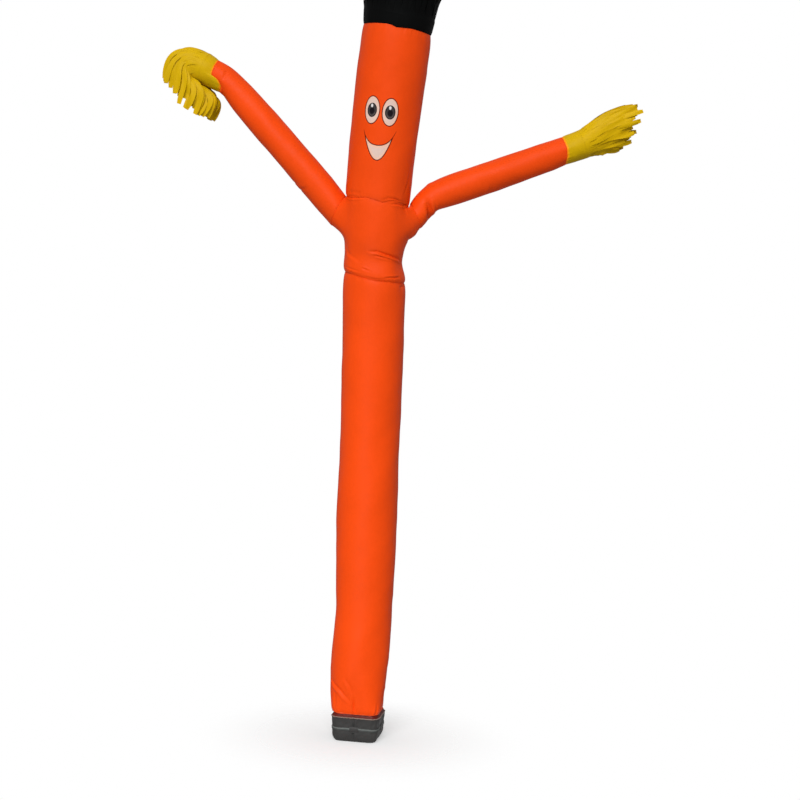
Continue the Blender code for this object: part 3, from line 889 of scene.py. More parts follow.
def printed_face(nodes, cloth):
    """Paints the face over the head's cloth colour, and returns the colour."""
    colours = bpy.context.scene.dancer_colours
    pale, dark = tuple(colours.print_pale), tuple(colours.print_dark)
    place = nodes.cloth_place()
    parts = nodes.add("SeparateXYZ", {0: place})
    around, along = parts.outputs[0], parts.outputs[1]
    painted = cloth

    def oval(middle, half):
        """Distance in from the edge of an oval, in metres."""
        offset = nodes.vector("SUBTRACT", place, (*middle, 0))
        once = nodes.vector("LENGTH", nodes.vector("DIVIDE", offset, (*half, 1)))
        twice = nodes.vector("DIVIDE", offset, (half[0] ** 2, half[1] ** 2, 1))
        slope = nodes.math("MAXIMUM", nodes.vector("LENGTH", twice), 1e-4)
        return nodes.math("DIVIDE", nodes.math("MULTIPLY", nodes.math("SUBTRACT", 1, once), once), slope)

    def paint(distance, rgba, inset=0.0, soft=0.0012):
        mask = nodes.spread(distance, inset - soft, inset + soft, smooth=True)
        return nodes.mix(mask, painted, rgba)

    for u, v in EYES:
        eye = oval((u, v), EYE_HALF)
        painted = paint(eye, dark)
        white = nodes.mix(nodes.spread(eye, 0.006, 0.030), EYE_EDGE, pale)
        painted = paint(eye, white, EYE_OUTLINE)
        iris = oval((u, v - IRIS_SINK), IRIS_HALF)
        painted = paint(iris, IRIS_OUTER)
        low = nodes.spread(along, v + 0.01, v - 0.03)
        ring = nodes.mix(low, IRIS_UPPER, IRIS_LOWER)
        painted = paint(iris, ring, 0.009, 0.002)
        painted = paint(iris, IRIS_INNER, 0.0135, 0.002)
        painted = paint(oval((u, v - PUPIL_SINK), PUPIL_HALF), PUPIL, soft=0.003)
        painted = paint(oval((u - 0.003, v + GLINT_RISE), GLINT_HALF), GLINT, soft=0.003)

    def above(terms):
        """Height of a point over one of the smile's lines, measured square to the line."""
        height, slope = 0.0, 0.0
        for power in range(len(terms) - 1, 0, -1):
            height = nodes.math("MULTIPLY_ADD", height, around, terms[power])
            slope = nodes.math("MULTIPLY_ADD", slope, around, terms[power] * power)
        height = nodes.math("MULTIPLY_ADD", height, around, terms[0])
        steep = nodes.math("SQRT", nodes.math("MULTIPLY_ADD", slope, slope, 1.0))
        return nodes.math("DIVIDE", nodes.math("SUBTRACT", along, height), steep)

    over_upper, over_lower = above(UPPER_LIP), above(LOWER_LIP)
    within = nodes.math(
        "MINIMUM",
        nodes.math("SUBTRACT", around, SMILE_ENDS[0]),
        nodes.math("SUBTRACT", SMILE_ENDS[1], around),
    )
    inside = nodes.math("MINIMUM", nodes.math("MULTIPLY", over_upper, -1), over_lower)
    inside = nodes.math("MINIMUM", inside, within)
    teeth = nodes.mix(nodes.spread(inside, 0.004, 0.028), TEETH_EDGE, pale)
    thin = nodes.spread(within, 0.0, 0.05, 0.0012, LIP_LINE)
    lip = nodes.math("SUBTRACT", thin, nodes.math("ABSOLUTE", over_upper))
    lip = nodes.math("MINIMUM", lip, within)
    jaw = nodes.math("SUBTRACT", LIP_LINE, nodes.math("ABSOLUTE", over_lower))
    jaw = nodes.math("MINIMUM", jaw, nodes.math("SUBTRACT", 0.002, over_upper))
    jaw = nodes.math("MINIMUM", jaw, within)
    painted = paint(inside, teeth)
    painted = paint(nodes.math("MAXIMUM", lip, jaw), dark)
    return painted


def head_nylon():
    """The body's orange nylon with a face printed on it."""
    colours, pitch = bpy.context.scene.dancer_colours, bpy.context.scene.dancer_sizes.ripstop
    nodes = Nodes("printed orange nylon")
    seams = NECK_SEAM.height + STITCH_INSET, BROW_SEAM.height - STITCH_INSET
    woven_cloth(nodes, tuple(colours.orange), pitch, seams=seams)
    cloth = nodes.shader.inputs["Base Color"].links[0].from_socket
    nodes.put(nodes.shader, "Base Color", printed_face(nodes, cloth))
    return nodes.material


# Folds, as placed on each piece


def on_body(half, *marks):
    """Points (degrees, height) as metres round a tube of that half width."""
    return [(math.radians(degrees) * half, height) for degrees, height in marks]


NECK_LOW = [
    Crease(on_body(0.24, (-62, 4.048), (-31, 4.062), (-11, 4.074)), 0.006, 0.007, 0.003, -1),
    Crease(on_body(0.24, (34, 4.052), (50, 4.060), (69, 4.060)), 0.007, 0.006, 0.003, -1),
    Crease(on_body(0.24, (66, 4.066), (70, 4.030), (69, 3.996)), 0.007, 0.006, 0.002, 1),
]
WAIST_FOLDS = [
    Crease(
        on_body(0.226, (-2, 3.687), (14.7, 3.697), (28.3, 3.688), (53.9, 3.676), (78, 3.660)),
        0.012, 0.009, 0.009, -1,
    ),
    Crease(on_body(0.226, (6, 3.668), (30, 3.664), (50, 3.655)), 0.005, 0.007, 0.003, -1),
    Crease(on_body(0.236, (-56, 3.539), (-38, 3.530), (-16, 3.527)), 0.004, 0.007, 0.002, -1),
    Crease(on_body(0.236, (-14, 3.556), (-6, 3.551), (0, 3.546)), 0.006, 0.006, 0.003, 1),
    Crease(on_body(0.236, (26, 3.508), (36, 3.520), (50, 3.528), (64, 3.538)), 0.008, 0.007, 0.004, 1),
    Crease(on_body(0.236, (-46, 3.490), (-40, 3.492), (-34, 3.494)), 0.004, 0.008, 0.0, 1),
    Crease(on_body(0.236, (-8, 3.500), (8, 3.498), (26, 3.502)), 0.005, 0.006, 0.002, 1),
    Crease(on_body(0.236, (-20, 3.60), (-48, 3.64), (-70, 3.72)), 0.003, 0.014, 0.002, 1),
]
# Round the right sleeve as round its arm, and how far past the sleeve's seam.
UNDERARM_FOLDS = [
    Crease([(0.07, -0.070), (0.13, -0.070), (0.185, -0.062), (0.24, -0.054)], -0.017, 0.040, 0.0, 1),
    Crease([(0.06, -0.128), (0.14, -0.120), (0.22, -0.112)], 0.006, 0.009, 0.0, 1),
]
LOWER_BODY_FOLDS = [
    Crease(on_body(0.23, (-44, 3.455), (-36, 3.462), (-26, 3.468)), 0.003, 0.007, 0.001, -1),
    Crease(on_body(0.23, (66, 3.462), (74, 3.470), (84, 3.468)), 0.009, 0.008, 0.004, -1),
    Crease([(-0.006, 0.215), (-0.004, 0.28), (-0.010, 0.36)], 0.008, 0.008, 0.005, 1),
    Crease([(0.016, 0.22), (0.018, 0.27), (0.022, 0.30)], 0.004, 0.006, 0.002, -1),
    Crease([(-0.230, 0.470), (-0.113, 0.398), (-0.070, 0.352), (-0.036, 0.320)], 0.009, 0.012, 0.007, -1),
    Crease([(-0.075, 0.50), (-0.035, 0.44), (-0.012, 0.37)], 0.004, 0.012, 0.003, -1),
    Crease([(0.255, 0.16), (0.270, 0.30), (0.300, 0.46)], 0.020, 0.022, 0.0, 1),
    Crease([(0.172, 0.20), (0.182, 0.25), (0.186, 0.31)], 0.006, 0.008, 0.003, 1),
    Crease([(0.420, 0.14), (0.400, 0.34), (0.390, 0.60)], 0.032, 0.085, 0.0, 1),
    Crease([(0.545, 0.10), (0.530, 0.24), (0.500, 0.38)], 0.018, 0.060, 0.0, 1),
    Crease([(0.400, 0.36), (0.390, 0.70), (0.390, 1.12)], 0.015, 0.090, 0.0, 1),
    Crease([(-0.330, 0.52), (-0.340, 0.80), (-0.340, 1.14)], 0.010, 0.080, 0.0, 1),
    Crease([(-0.165, 0.24), (-0.160, 0.30), (-0.165, 0.38)], 0.004, 0.012, 0.002, 1),
    Crease([(0.30, 0.24), (0.33, 0.36), (0.36, 0.52)], 0.005, 0.013, 0.003, 1),
    Crease([(0.62, 0.24), (0.60, 0.38), (0.63, 0.50)], 0.005, 0.013, 0.003, -1),
    Crease([(-0.34, 0.24), (-0.37, 0.37), (-0.36, 0.50)], 0.005, 0.013, 0.003, -1),
    Crease([(-0.60, 0.24), (-0.58, 0.33), (-0.61, 0.47)], 0.005, 0.013, 0.003, 1),
]
CUFF_FOLDS = [
    Crease([(-0.010, -0.02), (-0.006, 0.10), (-0.004, 0.22)], 0.009, 0.010, 0.003, -1),
    Crease([(0.165, 0.03), (0.150, 0.10), (0.160, 0.19)], 0.004, 0.010, 0.003, -1),
    Crease([(0.205, 0.02), (0.215, 0.09), (0.205, 0.17)], 0.004, 0.012, 0.003, 1),
    Crease([(-0.175, 0.03), (-0.165, 0.09), (-0.178, 0.18)], 0.003, 0.010, 0.002, 1),
]
HEAD_FOLDS = [
    Crease([(0.44, 4.20), (0.45, 4.60), (0.46, 5.05)], 0.012, 0.10, 0.0, 1),
    Crease(on_body(0.24, (17, 4.086), (30, 4.096), (41, 4.092), (62, 4.084)), 0.007, 0.007, 0.003, 1),
    Crease(on_body(0.24, (-60, 4.096), (-40, 4.102), (-20, 4.100)), 0.004, 0.008, 0.002, 1),
    Crease(on_body(0.25, (62, 4.13), (70, 4.22), (72, 4.32)), 0.003, 0.012, 0.002, 1),
]
# Round an arm and along it from its sleeve's seam.
LEFT_ARM_FOLDS = [
    Crease([(0.100, 1.297), (0.055, 1.290), (0.008, 1.284)], 0.007, 0.009, 0.002, -1),
    Crease([(-0.125, 1.336), (-0.100, 1.346), (-0.080, 1.352)], -0.013, 0.016, 0.0, 1),
    Crease([(-0.16, 1.300), (-0.105, 1.305), (-0.06, 1.318)], 0.007, 0.008, 0.0, 1),
    Crease([(-0.18, 0.31), (-0.11, 0.30), (-0.05, 0.27)], 0.004, 0.011, 0.002, 1),
    Crease([(-0.20, 0.40), (-0.14, 0.37), (-0.09, 0.35)], 0.003, 0.010, 0.002, -1),
]
RIGHT_ARM_FOLDS = [
    Crease([(-0.03, 0.125), (0.03, 0.108), (0.09, 0.084), (0.17, 0.066)], 0.030, 0.019, 0.008, 1),
    Crease([(0.02, 0.175), (0.08, 0.150), (0.15, 0.135)], 0.003, 0.010, 0.003, 1),
    Crease([(-0.22, 0.200), (-0.18, 0.212), (-0.14, 0.222)], -0.005, 0.020, 0.0, 1),
    Crease([(0.16, 0.56), (0.11, 0.60), (0.06, 0.62)], 0.003, 0.012, 0.002, 1),
]


# Operators


class DANCER_OT_cuff(bpy.types.Operator):
    """Sew the square cuff, with its foot turned in"""

    bl_idname = "dancer.cuff"
    bl_label = "Cuff"

    def execute(self, context):
        by_rim = RIM + np.linspace(-0.006, 0.010, 9)
        points, degrees, heights = body_grid(CUFF_SECTIONS, BODY_POINTS, 0.006, more=by_rim)
        foot = np.linspace(0, 2, 7)[:-1]
        rings = [section_ring(section, degrees + 270) for section in CUFF_SECTIONS]
        climb = places_of([s.height for s in CUFF_SECTIONS[2:]], heights) + 2
        points = spline(rings, np.concatenate([foot, climb]))
        around = np.radians(degrees) * CUFF_ROUND
        along = np.concatenate([foot * 0.017 - 0.034, heights])
        u, v = around[None, :], along[:, None]
        relief = crease_relief(CUFF_FOLDS, u, v) + 0.6 * SOFT_DENTS(u * 3, v * 5)
        relief = relief + gathers(u, np.abs(v - RIM), 0.002, 0.7)
        relief = relief + gathers(u, np.abs(v - 0.012), 0.002, 2.9)
        relief = np.minimum(relief * np.clip(v / 0.03, 0, 1), 0.004)
        under_belt = np.exp(-((v - BELT_HEIGHT) / 0.027) ** 6)
        relief = relief * (1 - under_belt) + np.minimum(relief, -0.0003) * under_belt
        relief = relief * held(heights[-1] - v) + 0.004 * np.exp(-(((v - RIM) / 0.0035) ** 2))
        relief = relief - step_down(RIM_FOLD - v, 0.001, RIM_RECESS * held(heights[-1] - v))
        points = points + grid_normals(points) * relief[..., None]
        points[..., 2] = np.maximum(points[..., 2], 0)
        sizes = context.scene.dancer_sizes
        cloth, hems = rimmed_cuff_cloth(), (False, True)
        obj = sew_tube("cuff_skirt", points, around, along, cloth, hems, sizes.cuff_cloth)
        finish_piece(obj, "cuff_cloth", "cuff", flat=(1.38, 0.265))
        return {"FINISHED"}


class DANCER_OT_belt(bpy.types.Operator):
    """Pull the webbing belt through its four loops"""

    bl_idname = "dancer.belt"
    bl_label = "Belt and loops"

    def execute(self, context):
        self.weave_belt()
        for name, degrees in (("right", 0), ("back", 90), ("left", 180), ("front", 270)):
            self.sew_loop(name, degrees)
        return {"FINISHED"}

    def weave_belt(self):
        degrees = 90 + 360 * np.arange(BODY_POINTS) / BODY_POINTS
        heights = BELT_HEIGHT + BELT_WIDTH * np.linspace(-0.5, 0.5, 6)
        half = CUFF_HALF + 0.0007
        rings = [section_ring(Section(height, 0, half, 0.060, 0), degrees) for height in heights]
        points = np.array(rings)
        around = np.radians(degrees - 270) * CUFF_ROUND
        points[..., 2] += 0.0012 * np.sin(around * 23 + 1) + 0.0008 * np.sin(around * 61)
        crown = 0.0006 * (1 - np.linspace(-1, 1, 6) ** 2)
        points = points + grid_normals(points) * crown[:, None, None]
        obj = sew_tube(
            "belt_band", points, around, heights, belt_webbing(), (False, False), BELT_THICKNESS - 0.0008,
            offset=1.0,
        )
        finish_piece(obj, "belt_webbing", "belt", flat=(1.31, 0.021))

    def sew_loop(self, name, degrees):
        rise = 0.0005 + BELT_THICKNESS + 0.0009
        flat, sewn = BELT_WIDTH / 2 + 0.0015, BELT_WIDTH / 2 + 0.0065
        profile = [
            (-LOOP_HEIGHT / 2, 0.0006), (-0.020, 0.0006), (-sewn, 0.0007), (-flat, rise),
            (-0.004, rise + 0.0006), (0.004, rise + 0.0006),
            (flat, rise), (sewn, 0.0007), (0.020, 0.0006), (LOOP_HEIGHT / 2, 0.0006),
        ]
        rows, columns = 25, 13
        line = spline(profile, np.linspace(0, len(profile) - 1, rows))
        outward = np.array((math.cos(math.radians(degrees)), math.sin(math.radians(degrees)), 0))
        along = np.array((-outward[1], outward[0], 0))
        sides = np.linspace(-1, 1, columns)
        bulge = 0.0007 * (1 - sides**2) * np.clip((line[:, 1] - 0.001) / 0.002, 0, 1)[:, None]
        sideways = sides * LOOP_WIDTH / 2 * (1 + 0.012 * np.sin(line[:, :1] * 210))
        points = np.array(FOOT) + along * sideways[..., None]
        points = points + outward * (CUFF_HALF + line[:, 1:] + bulge)[..., None]
        points[..., 2] += BELT_HEIGHT + line[:, :1]
        row, column = np.meshgrid(np.arange(rows - 1), np.arange(columns - 1), indexing="ij")
        quad = [(row, column), (row, column + 1), (row + 1, column + 1), (row + 1, column)]
        faces = np.stack([r * columns + c for r, c in quad], -1).reshape(-1, 4)
        uvs = np.stack([np.stack([sides[c] * LOOP_WIDTH / 2, line[r, 0]], -1) for r, c in quad], 2)
        obj = mesh_object(f"loop_{name}", points, faces, uvs, cuff_cloth())
        give_thickness(obj, LOOP_CLOTH, offset=1.0)
        finish_piece(obj, "cuff_cloth", f"belt_loop_{name}", flat=(LOOP_WIDTH, 0.054))


class DANCER_OT_lower_body(bpy.types.Operator):
    """Sew the long lower tube"""

    bl_idname = "dancer.lower_body"
    bl_label = "Lower body"

    def execute(self, context):
        points, degrees, heights = body_grid(
            LOWER_BODY_SECTIONS, BODY_POINTS, 0.031, None, WAIST_WAVE,
            np.concatenate([HEM_TOP + np.linspace(-0.003, 0.012, 6), np.arange(0.24, 0.56, 0.0075)]),
        )
        around = np.radians(degrees) * LOWER_BODY_ROUND
        u, v = around[None, :], heights[:, None]
        pucker = context.scene.dancer_sizes.pucker
        relief = SOFT_DENTS(u, v) + crease_relief(LOWER_BODY_FOLDS, u, v)
        relief = relief + gathers(u, v - heights[0], pucker, 0.4)
        relief = relief + gathers(u, heights[-1] - v, pucker * 0.5, 1.7)
        relief = (relief + fell_seam(u, 0.70)) * held(v - heights[0])
        relief = relief * held(heights[-1] - v, reach=waist_reach(u))
        relief = relief - step_down(v - HEM_TOP, 0.0012, HEM_RECESS * held(v - heights[0]))
        relief = relief + 0.0035 * np.exp(-(((v - HEM_TOP - HEM_LIP) / 0.0035) ** 2))
        points = points + grid_normals(points) * relief[..., None]
        obj = sew_tube("lower_tube", points, around, heights, hemmed_orange_nylon())
        finish_piece(obj, "orange_nylon", "lower_body", flat=(1.43, 3.32))
        return {"FINISHED"}


def torso_cage():
    """Points and faces of the torso's coarse cage, with both sleeves drawn out."""
    columns = len(TORSO_COLUMNS)
    grow = [swell(TORSO_COLUMNS, column) for column in range(columns)]
    rings = [section_ring(section, TORSO_COLUMNS, grow) for section in TORSO_SECTIONS]
    points = [point for ring in rings for point in ring]
    cut, sleeves = set(), []
    for arm in (LEFT_ARM, RIGHT_ARM):
        side = 0 if arm.side > 0 else 180
        middle, near, far = (
            TORSO_COLUMNS.index((side + step) % 360) for step in (0, -SLEEVE_SPREAD, SLEEVE_SPREAD)
        )
        hole = [
            (SHOULDER_ROW, middle), (SHOULDER_ROW, near), (ARM_ROW, near), (ARMPIT_ROW, near),
            (ARMPIT_ROW, middle), (ARMPIT_ROW, far), (ARM_ROW, far), (SHOULDER_ROW, far),
        ]
        for row, column in hole:
            if row == ARMPIT_ROW:
                points[row * columns + column][2] += arm.armpit
        cut.add((ARM_ROW, middle))
        widened = [swell(ARM_COLUMNS, column) for column in range(8)]
        first = len(points)
        points += list(station_ring(arm, 0, ARM_COLUMNS, widened))
        edge = [row * columns + column for row, column in hole]
        sleeves += [
            (edge[i], edge[(i + 1) % 8], first + (i + 1) % 8, first + i) for i in range(8)
        ]
    faces = []
    for row in range(len(rings) - 1):
        for column in range(columns):
            beside = (column + 1) % columns
            corners = [(row, column), (row, beside), (row + 1, beside), (row + 1, column)]
            if not cut & set(corners):
                faces.append(tuple(r * columns + c for r, c in corners))
    return points, faces + sleeves


def swell(columns, index):
    """How much further out a cage column lies than the smoothed surface it makes."""
    here = columns[index]
    before = (here - columns[index - 1]) % 360
    after = (columns[(index + 1) % len(columns)] - here) % 360
    return 8 / (6 + math.cos(math.radians(before)) + math.cos(math.radians(after)))


class DANCER_OT_torso(bpy.types.Operator):
    """Sew the torso with its two sleeves"""

    bl_idname = "dancer.torso"
    bl_label = "Torso"

    def execute(self, context):
        sizes = context.scene.dancer_sizes
        points, faces = torso_cage()
        mesh = bpy.data.meshes.new("torso_tube")
        mesh.from_pydata([tuple(point) for point in points], [], faces)
        seams = WAIST_SEAM.height + STITCH_INSET, NECK_SEAM.height - STITCH_INSET
        mesh.materials.append(orange_nylon("torso", *seams))
        obj = bpy.data.objects.new("torso_tube", mesh)
        context.scene.collection.objects.link(obj)
        shape = bmesh.new()
        shape.from_mesh(mesh)
        loose = [vertex for vertex in shape.verts if not vertex.link_faces]
        bmesh.ops.delete(shape, geom=loose, context="VERTS")
        bmesh.ops.recalc_face_normals(shape, faces=shape.faces[:])
        shape.to_mesh(mesh)
        shape.free()
        apply_modifier(obj, "SUBSURF", levels=4, render_levels=4)
        self.crumple(obj, sizes)
        self.turn_in(obj, sizes.allowance)
        self.lay_out(obj)
        give_thickness(obj, sizes.cloth)
        finish_piece(obj, "orange_nylon", "torso", flat=(1.46, 0.72))
        return {"FINISHED"}

    def crumple(self, obj, sizes):
        """Gathers along the four seams, and the torso's own folds."""
        count = len(obj.data.vertices)
        points, normals = np.empty(count * 3), np.empty(count * 3)
        obj.data.vertices.foreach_get("co", points)
        obj.data.vertex_normals.foreach_get("vector", normals)
        points, normals = points.reshape(-1, 3), normals.reshape(-1, 3)
        place = points - np.array(FOOT)
        around = np.arctan2(place[:, 0] - NECK_SEAM.x, -place[:, 1]) * TORSO_ROUND
        height = place[:, 2] + SEAM_FALL * place[:, 0]
        body = step_down(np.abs(place[:, 0] - NECK_SEAM.x) - 0.25, 0.012)
        relief = SOFT_DENTS(around, height) + crease_relief(WAIST_FOLDS + NECK_LOW, around, height) * body
        from_waist = np.abs(height - WAIST_SEAM.height)
        from_neck = np.abs(NECK_SEAM.height - height) + (1 - body) * 0.5
        relief += gathers(around, from_waist, sizes.pucker * 0.5, 2.3)
        relief += gathers(around, from_neck, sizes.pucker * 0.7 * off_middle(around), 0.9)
        relief *= held(from_waist, reach=waist_reach(around)) * held(from_neck, reach=neck_reach(around))
        degrees = np.degrees(around / TORSO_ROUND)
        points[:, 2] += seam_wave(degrees, WAIST_WAVE) * np.exp(-from_waist / WAVE_REACH)
        points[:, 2] += seam_wave(degrees, NECK_WAVE) * np.exp(-from_neck / WAVE_REACH) * body
        for arm in (LEFT_ARM, RIGHT_ARM):
            centre, direction, upper, sideways = (np.array(axis) for axis in station_frame(arm, 0))
            offset = points - centre
            along = offset @ direction
            radius = arm.stations[0].radius
            turn = np.arctan2(offset @ sideways, offset @ upper) - arm.side * np.pi / 2
            turn = ((turn + np.pi) % math.tau - np.pi) * radius
            on_side = arm.side * (place[:, 0] - NECK_SEAM.x) > 0.1
            distance = np.where(on_side & (along > -0.08), np.abs(along), 1.0)
            if arm.side > 0:
                relief += crease_relief(UNDERARM_FOLDS, turn, along) * on_side
            relief += gathers(turn, distance, sizes.pucker * 0.25, 3.1)
            relief *= held(distance)
        points = points + normals * relief[:, None]
        obj.data.vertices.foreach_set("co", points.reshape(-1))
        obj.data.update()

    def turn_in(self, obj, allowance):
        shape = bmesh.new()
        shape.from_mesh(obj.data)
        shape.normal_update()
        rim = [edge for edge in shape.edges if edge.is_boundary]
        inward = {v: v.normal.copy() for edge in rim for v in edge.verts}
        made = bmesh.ops.extrude_edge_only(shape, edges=rim)["geom"]
        new = {item for item in made if isinstance(item, bmesh.types.BMVert)}
        for vertex, normal in inward.items():
            end = next(e.other_vert(vertex) for e in vertex.link_edges if e.other_vert(vertex) in new)
            end.co = vertex.co - normal * allowance
        bmesh.ops.recalc_face_normals(shape, faces=shape.faces[:])
        shape.to_mesh(obj.data)
        shape.free()

    def lay_out(self, obj):
        """Cloth coordinates: round the body and up it, on the sleeves too."""
        mesh = obj.data
        count = len(mesh.vertices)
        points = np.empty(count * 3)
        mesh.vertices.foreach_get("co", points)
        place = points.reshape(-1, 3) - np.array(FOOT)
        around = np.arctan2(place[:, 0] - NECK_SEAM.x, -place[:, 1]) * TORSO_ROUND
        height = place[:, 2] + SEAM_FALL * place[:, 0]
        corner = np.empty(len(mesh.loops), dtype=np.int64)
        mesh.loops.foreach_get("vertex_index", corner)
        u, v = around[corner], height[corner]
        starts = np.array([polygon.loop_start for polygon in mesh.polygons])
        whole = math.tau * TORSO_ROUND
        for index in (1, 2, 3):
            gap = u[starts + index] - u[starts]
            u[starts + index] -= np.round(gap / whole) * whole
        layer = mesh.uv_layers.new(name="cloth")
        layer.data.foreach_set("uv", np.stack([u, v], -1).reshape(-1))


class DANCER_OT_head(bpy.types.Operator):
    """Sew the head and print its face"""

    bl_idname = "dancer.head"
    bl_label = "Head"

    def execute(self, context):
        points, degrees, heights = body_grid(HEAD_SECTIONS, BODY_POINTS, 0.0125, NECK_WAVE, BROW_WAVE)
        around = np.radians(degrees) * HEAD_ROUND
        u, v = around[None, :], heights[:, None]
        pucker = context.scene.dancer_sizes.pucker
        relief = 0.8 * SOFT_DENTS(u + 1.3, v) + crease_relief(HEAD_FOLDS, u, v)
        relief = relief + gathers(u, v - heights[0], pucker * 0.7 * off_middle(u), 0.9)
        relief = relief + gathers(u, heights[-1] - v, pucker * 0.7, 2.2)
        relief = (relief + fell_seam(u, 0.77)) * held(heights[-1] - v)
        relief = relief * held(v - heights[0], reach=neck_reach(u))
        points = points + grid_normals(points) * relief[..., None]
        obj = sew_tube("head_tube", points, around, heights, head_nylon())
        finish_piece(obj, "orange_nylon", "head", flat=(1.58, 1.31))
        return {"FINISHED"}


class DANCER_OT_arms(bpy.types.Operator):
    """Sew the two arms to their sleeves"""

    bl_idname = "dancer.arms"
    bl_label = "Arms"

    def execute(self, context):
        pucker = context.scene.dancer_sizes.pucker
        for arm, folds, flat in (
            (LEFT_ARM, LEFT_ARM_FOLDS, (0.73, 1.40)),
            (RIGHT_ARM, RIGHT_ARM_FOLDS, (0.70, 1.28)),
        ):
            wrist_wave = WRIST_WAVES[arm.name]
            points, degrees, lengths = arm_grid(arm, 0, arm.wrist, ARM_POINTS, 0.0085, None, wrist_wave)
            around = np.radians(degrees) * ARM_ROUND
            u, v = around[None, :], lengths[:, None]
            relief = 0.7 * SOFT_DENTS(u * 1.5 + 0.4, v * 1.2) + crease_relief(folds, u, v)
            relief = relief + gathers(u, v, pucker * 0.25, 3.1)
            relief = relief + gathers(u, lengths[-1] - v, pucker * 0.7, 1.3)
            relief = (relief + fell_seam(u, 0.33)) * held(v, lengths[-1] - v)
            points = points + grid_normals(points) * relief[..., None]
            cloth = orange_nylon(f"{arm.name} arm", STITCH_INSET, lengths[-1] - STITCH_INSET)
            obj = sew_tube(f"arm_{arm.name}_sleeve", points, around, lengths, cloth)
            finish_piece(obj, "orange_nylon", f"arm_{arm.name}", flat=flat)
        return {"FINISHED"}


class DANCER_OT_hands(bpy.types.Operator):
    """Sew the yellow hands and cut their ribbons"""

    bl_idname = "dancer.hands"
    bl_label = "Hands"

    def execute(self, context):
        pucker = context.scene.dancer_sizes.pucker
        for arm, fringe, path in (
            (LEFT_ARM, LEFT_FRINGE, left_hand_path),
            (RIGHT_ARM, RIGHT_FRINGE, right_hand_path),
        ):
            last, wave = len(arm.stations) - 1, WRIST_WAVES[arm.name]
            points, degrees, lengths = arm_grid(arm, arm.wrist, last, ARM_POINTS, 0.008, wave, reach=0.115)
            around = np.radians(degrees) * HAND_ROUND
            u, v = around[None, :], lengths[:, None]
            relief = 0.6 * SOFT_DENTS(u * 2, v * 3) + gathers(u, v, pucker * 0.8, 4.4)
            relief = relief * held(v, lengths[-1] - v + 0.002)
            points = points + grid_normals(points) * relief[..., None]
            name = f"hand_{arm.name}_sleeve"
            obj = sew_tube(name, points, around, lengths, hemmed_yellow_nylon(), (True, False))
            finish_piece(obj, "yellow_nylon", f"hand_{arm.name}", flat=(0.70, 0.135))
            band = hand_band(arm)
            obj = cut_ribbons(f"hand_{arm.name}_ribbons", fringe, band, path, yellow_nylon())
            size = (HAND_BAND_GIRTH * fringe.widening, fringe.length + HAND_ROOT_HEIGHT)
            finish_piece(obj, "yellow_nylon", f"hand_fringe_{arm.name}", flat=size, held="hung")
        return {"FINISHED"}


class DANCER_OT_hair(bpy.types.Operator):
    """Sew the black band of the hair and cut its ribbons"""

    bl_idname = "dancer.hair"
    bl_label = "Hair"

    def execute(self, context):
        pucker = context.scene.dancer_sizes.pucker
        points, degrees, heights = body_grid(HAIR_BAND_SECTIONS, BODY_POINTS, 0.008, BROW_WAVE)
        around = np.radians(degrees) * HAIR_BAND_ROUND
        u, v = around[None, :], heights[:, None]
        relief = 0.5 * SOFT_DENTS(u, v) + gathers(u, v - heights[0], pucker * 0.7, 2.6)
        relief = relief * held(v - heights[0], heights[-1] - v + 0.002) + 0.001
        points = points + grid_normals(points) * relief[..., None]
        cloth = black_nylon("band", heights[0] + STITCH_INSET)
        obj = sew_tube("hair_band_tube", points, around, heights, cloth, (True, False))
        finish_piece(obj, "black_nylon", "hair_band", flat=(1.62, 0.115))
        obj = cut_ribbons("hair_ribbons", HAIR, hair_band, hair_path, black_nylon("ribbons"))
        size = (HAIR_BAND_GIRTH * HAIR.widening, HAIR.length + HAIR_ROOT_HEIGHT)
        finish_piece(obj, "black_nylon", "hair_fringe", flat=size, held="hung")
        return {"FINISHED"}


def uneven(turn, rate):
    """A smooth number from -1 to 1 that differs from ribbon to ribbon."""
    return math.sin(math.tau * turn * rate + rate)


def scatter(turn, rate):
    """A number from -1 to 1 that jumps from ribbon to ribbon."""
    return math.sin(turn * 977 * rate + rate)


def hair_path(fringe, turn, start, across, steps=6):
    """Ribbons that the air blows up and outwards from the head's open top."""
    angle = math.tau * turn
    outward = Vector((math.cos(angle), math.sin(angle), 0))
    rise = Vector((0.08, 0, 1)).normalized()
    length = fringe.length * (1 + 0.08 * uneven(turn, 5) + 0.04 * scatter(turn, 1.3))
    flare = 0.86 + 0.20 * uneven(turn, 3) + 0.12 * scatter(turn, 2.1)
    point = start
    for step in range(1, steps + 1):
        share = step / steps
        lean = 0.10 + flare * share**2
        point = point + (rise * math.cos(lean) + outward * math.sin(lean)) * length / steps
        yield point, across


def turned_flat(width, heading, sideways, share):
    """A ribbon's width as it twists from its place on the band to lie flat across its hand."""
    flat = heading.cross(sideways).normalized()
    if flat.dot(width) < 0:
        flat.negate()
    return width.lerp(flat, 0.8 * share * (2 - share)).normalized()


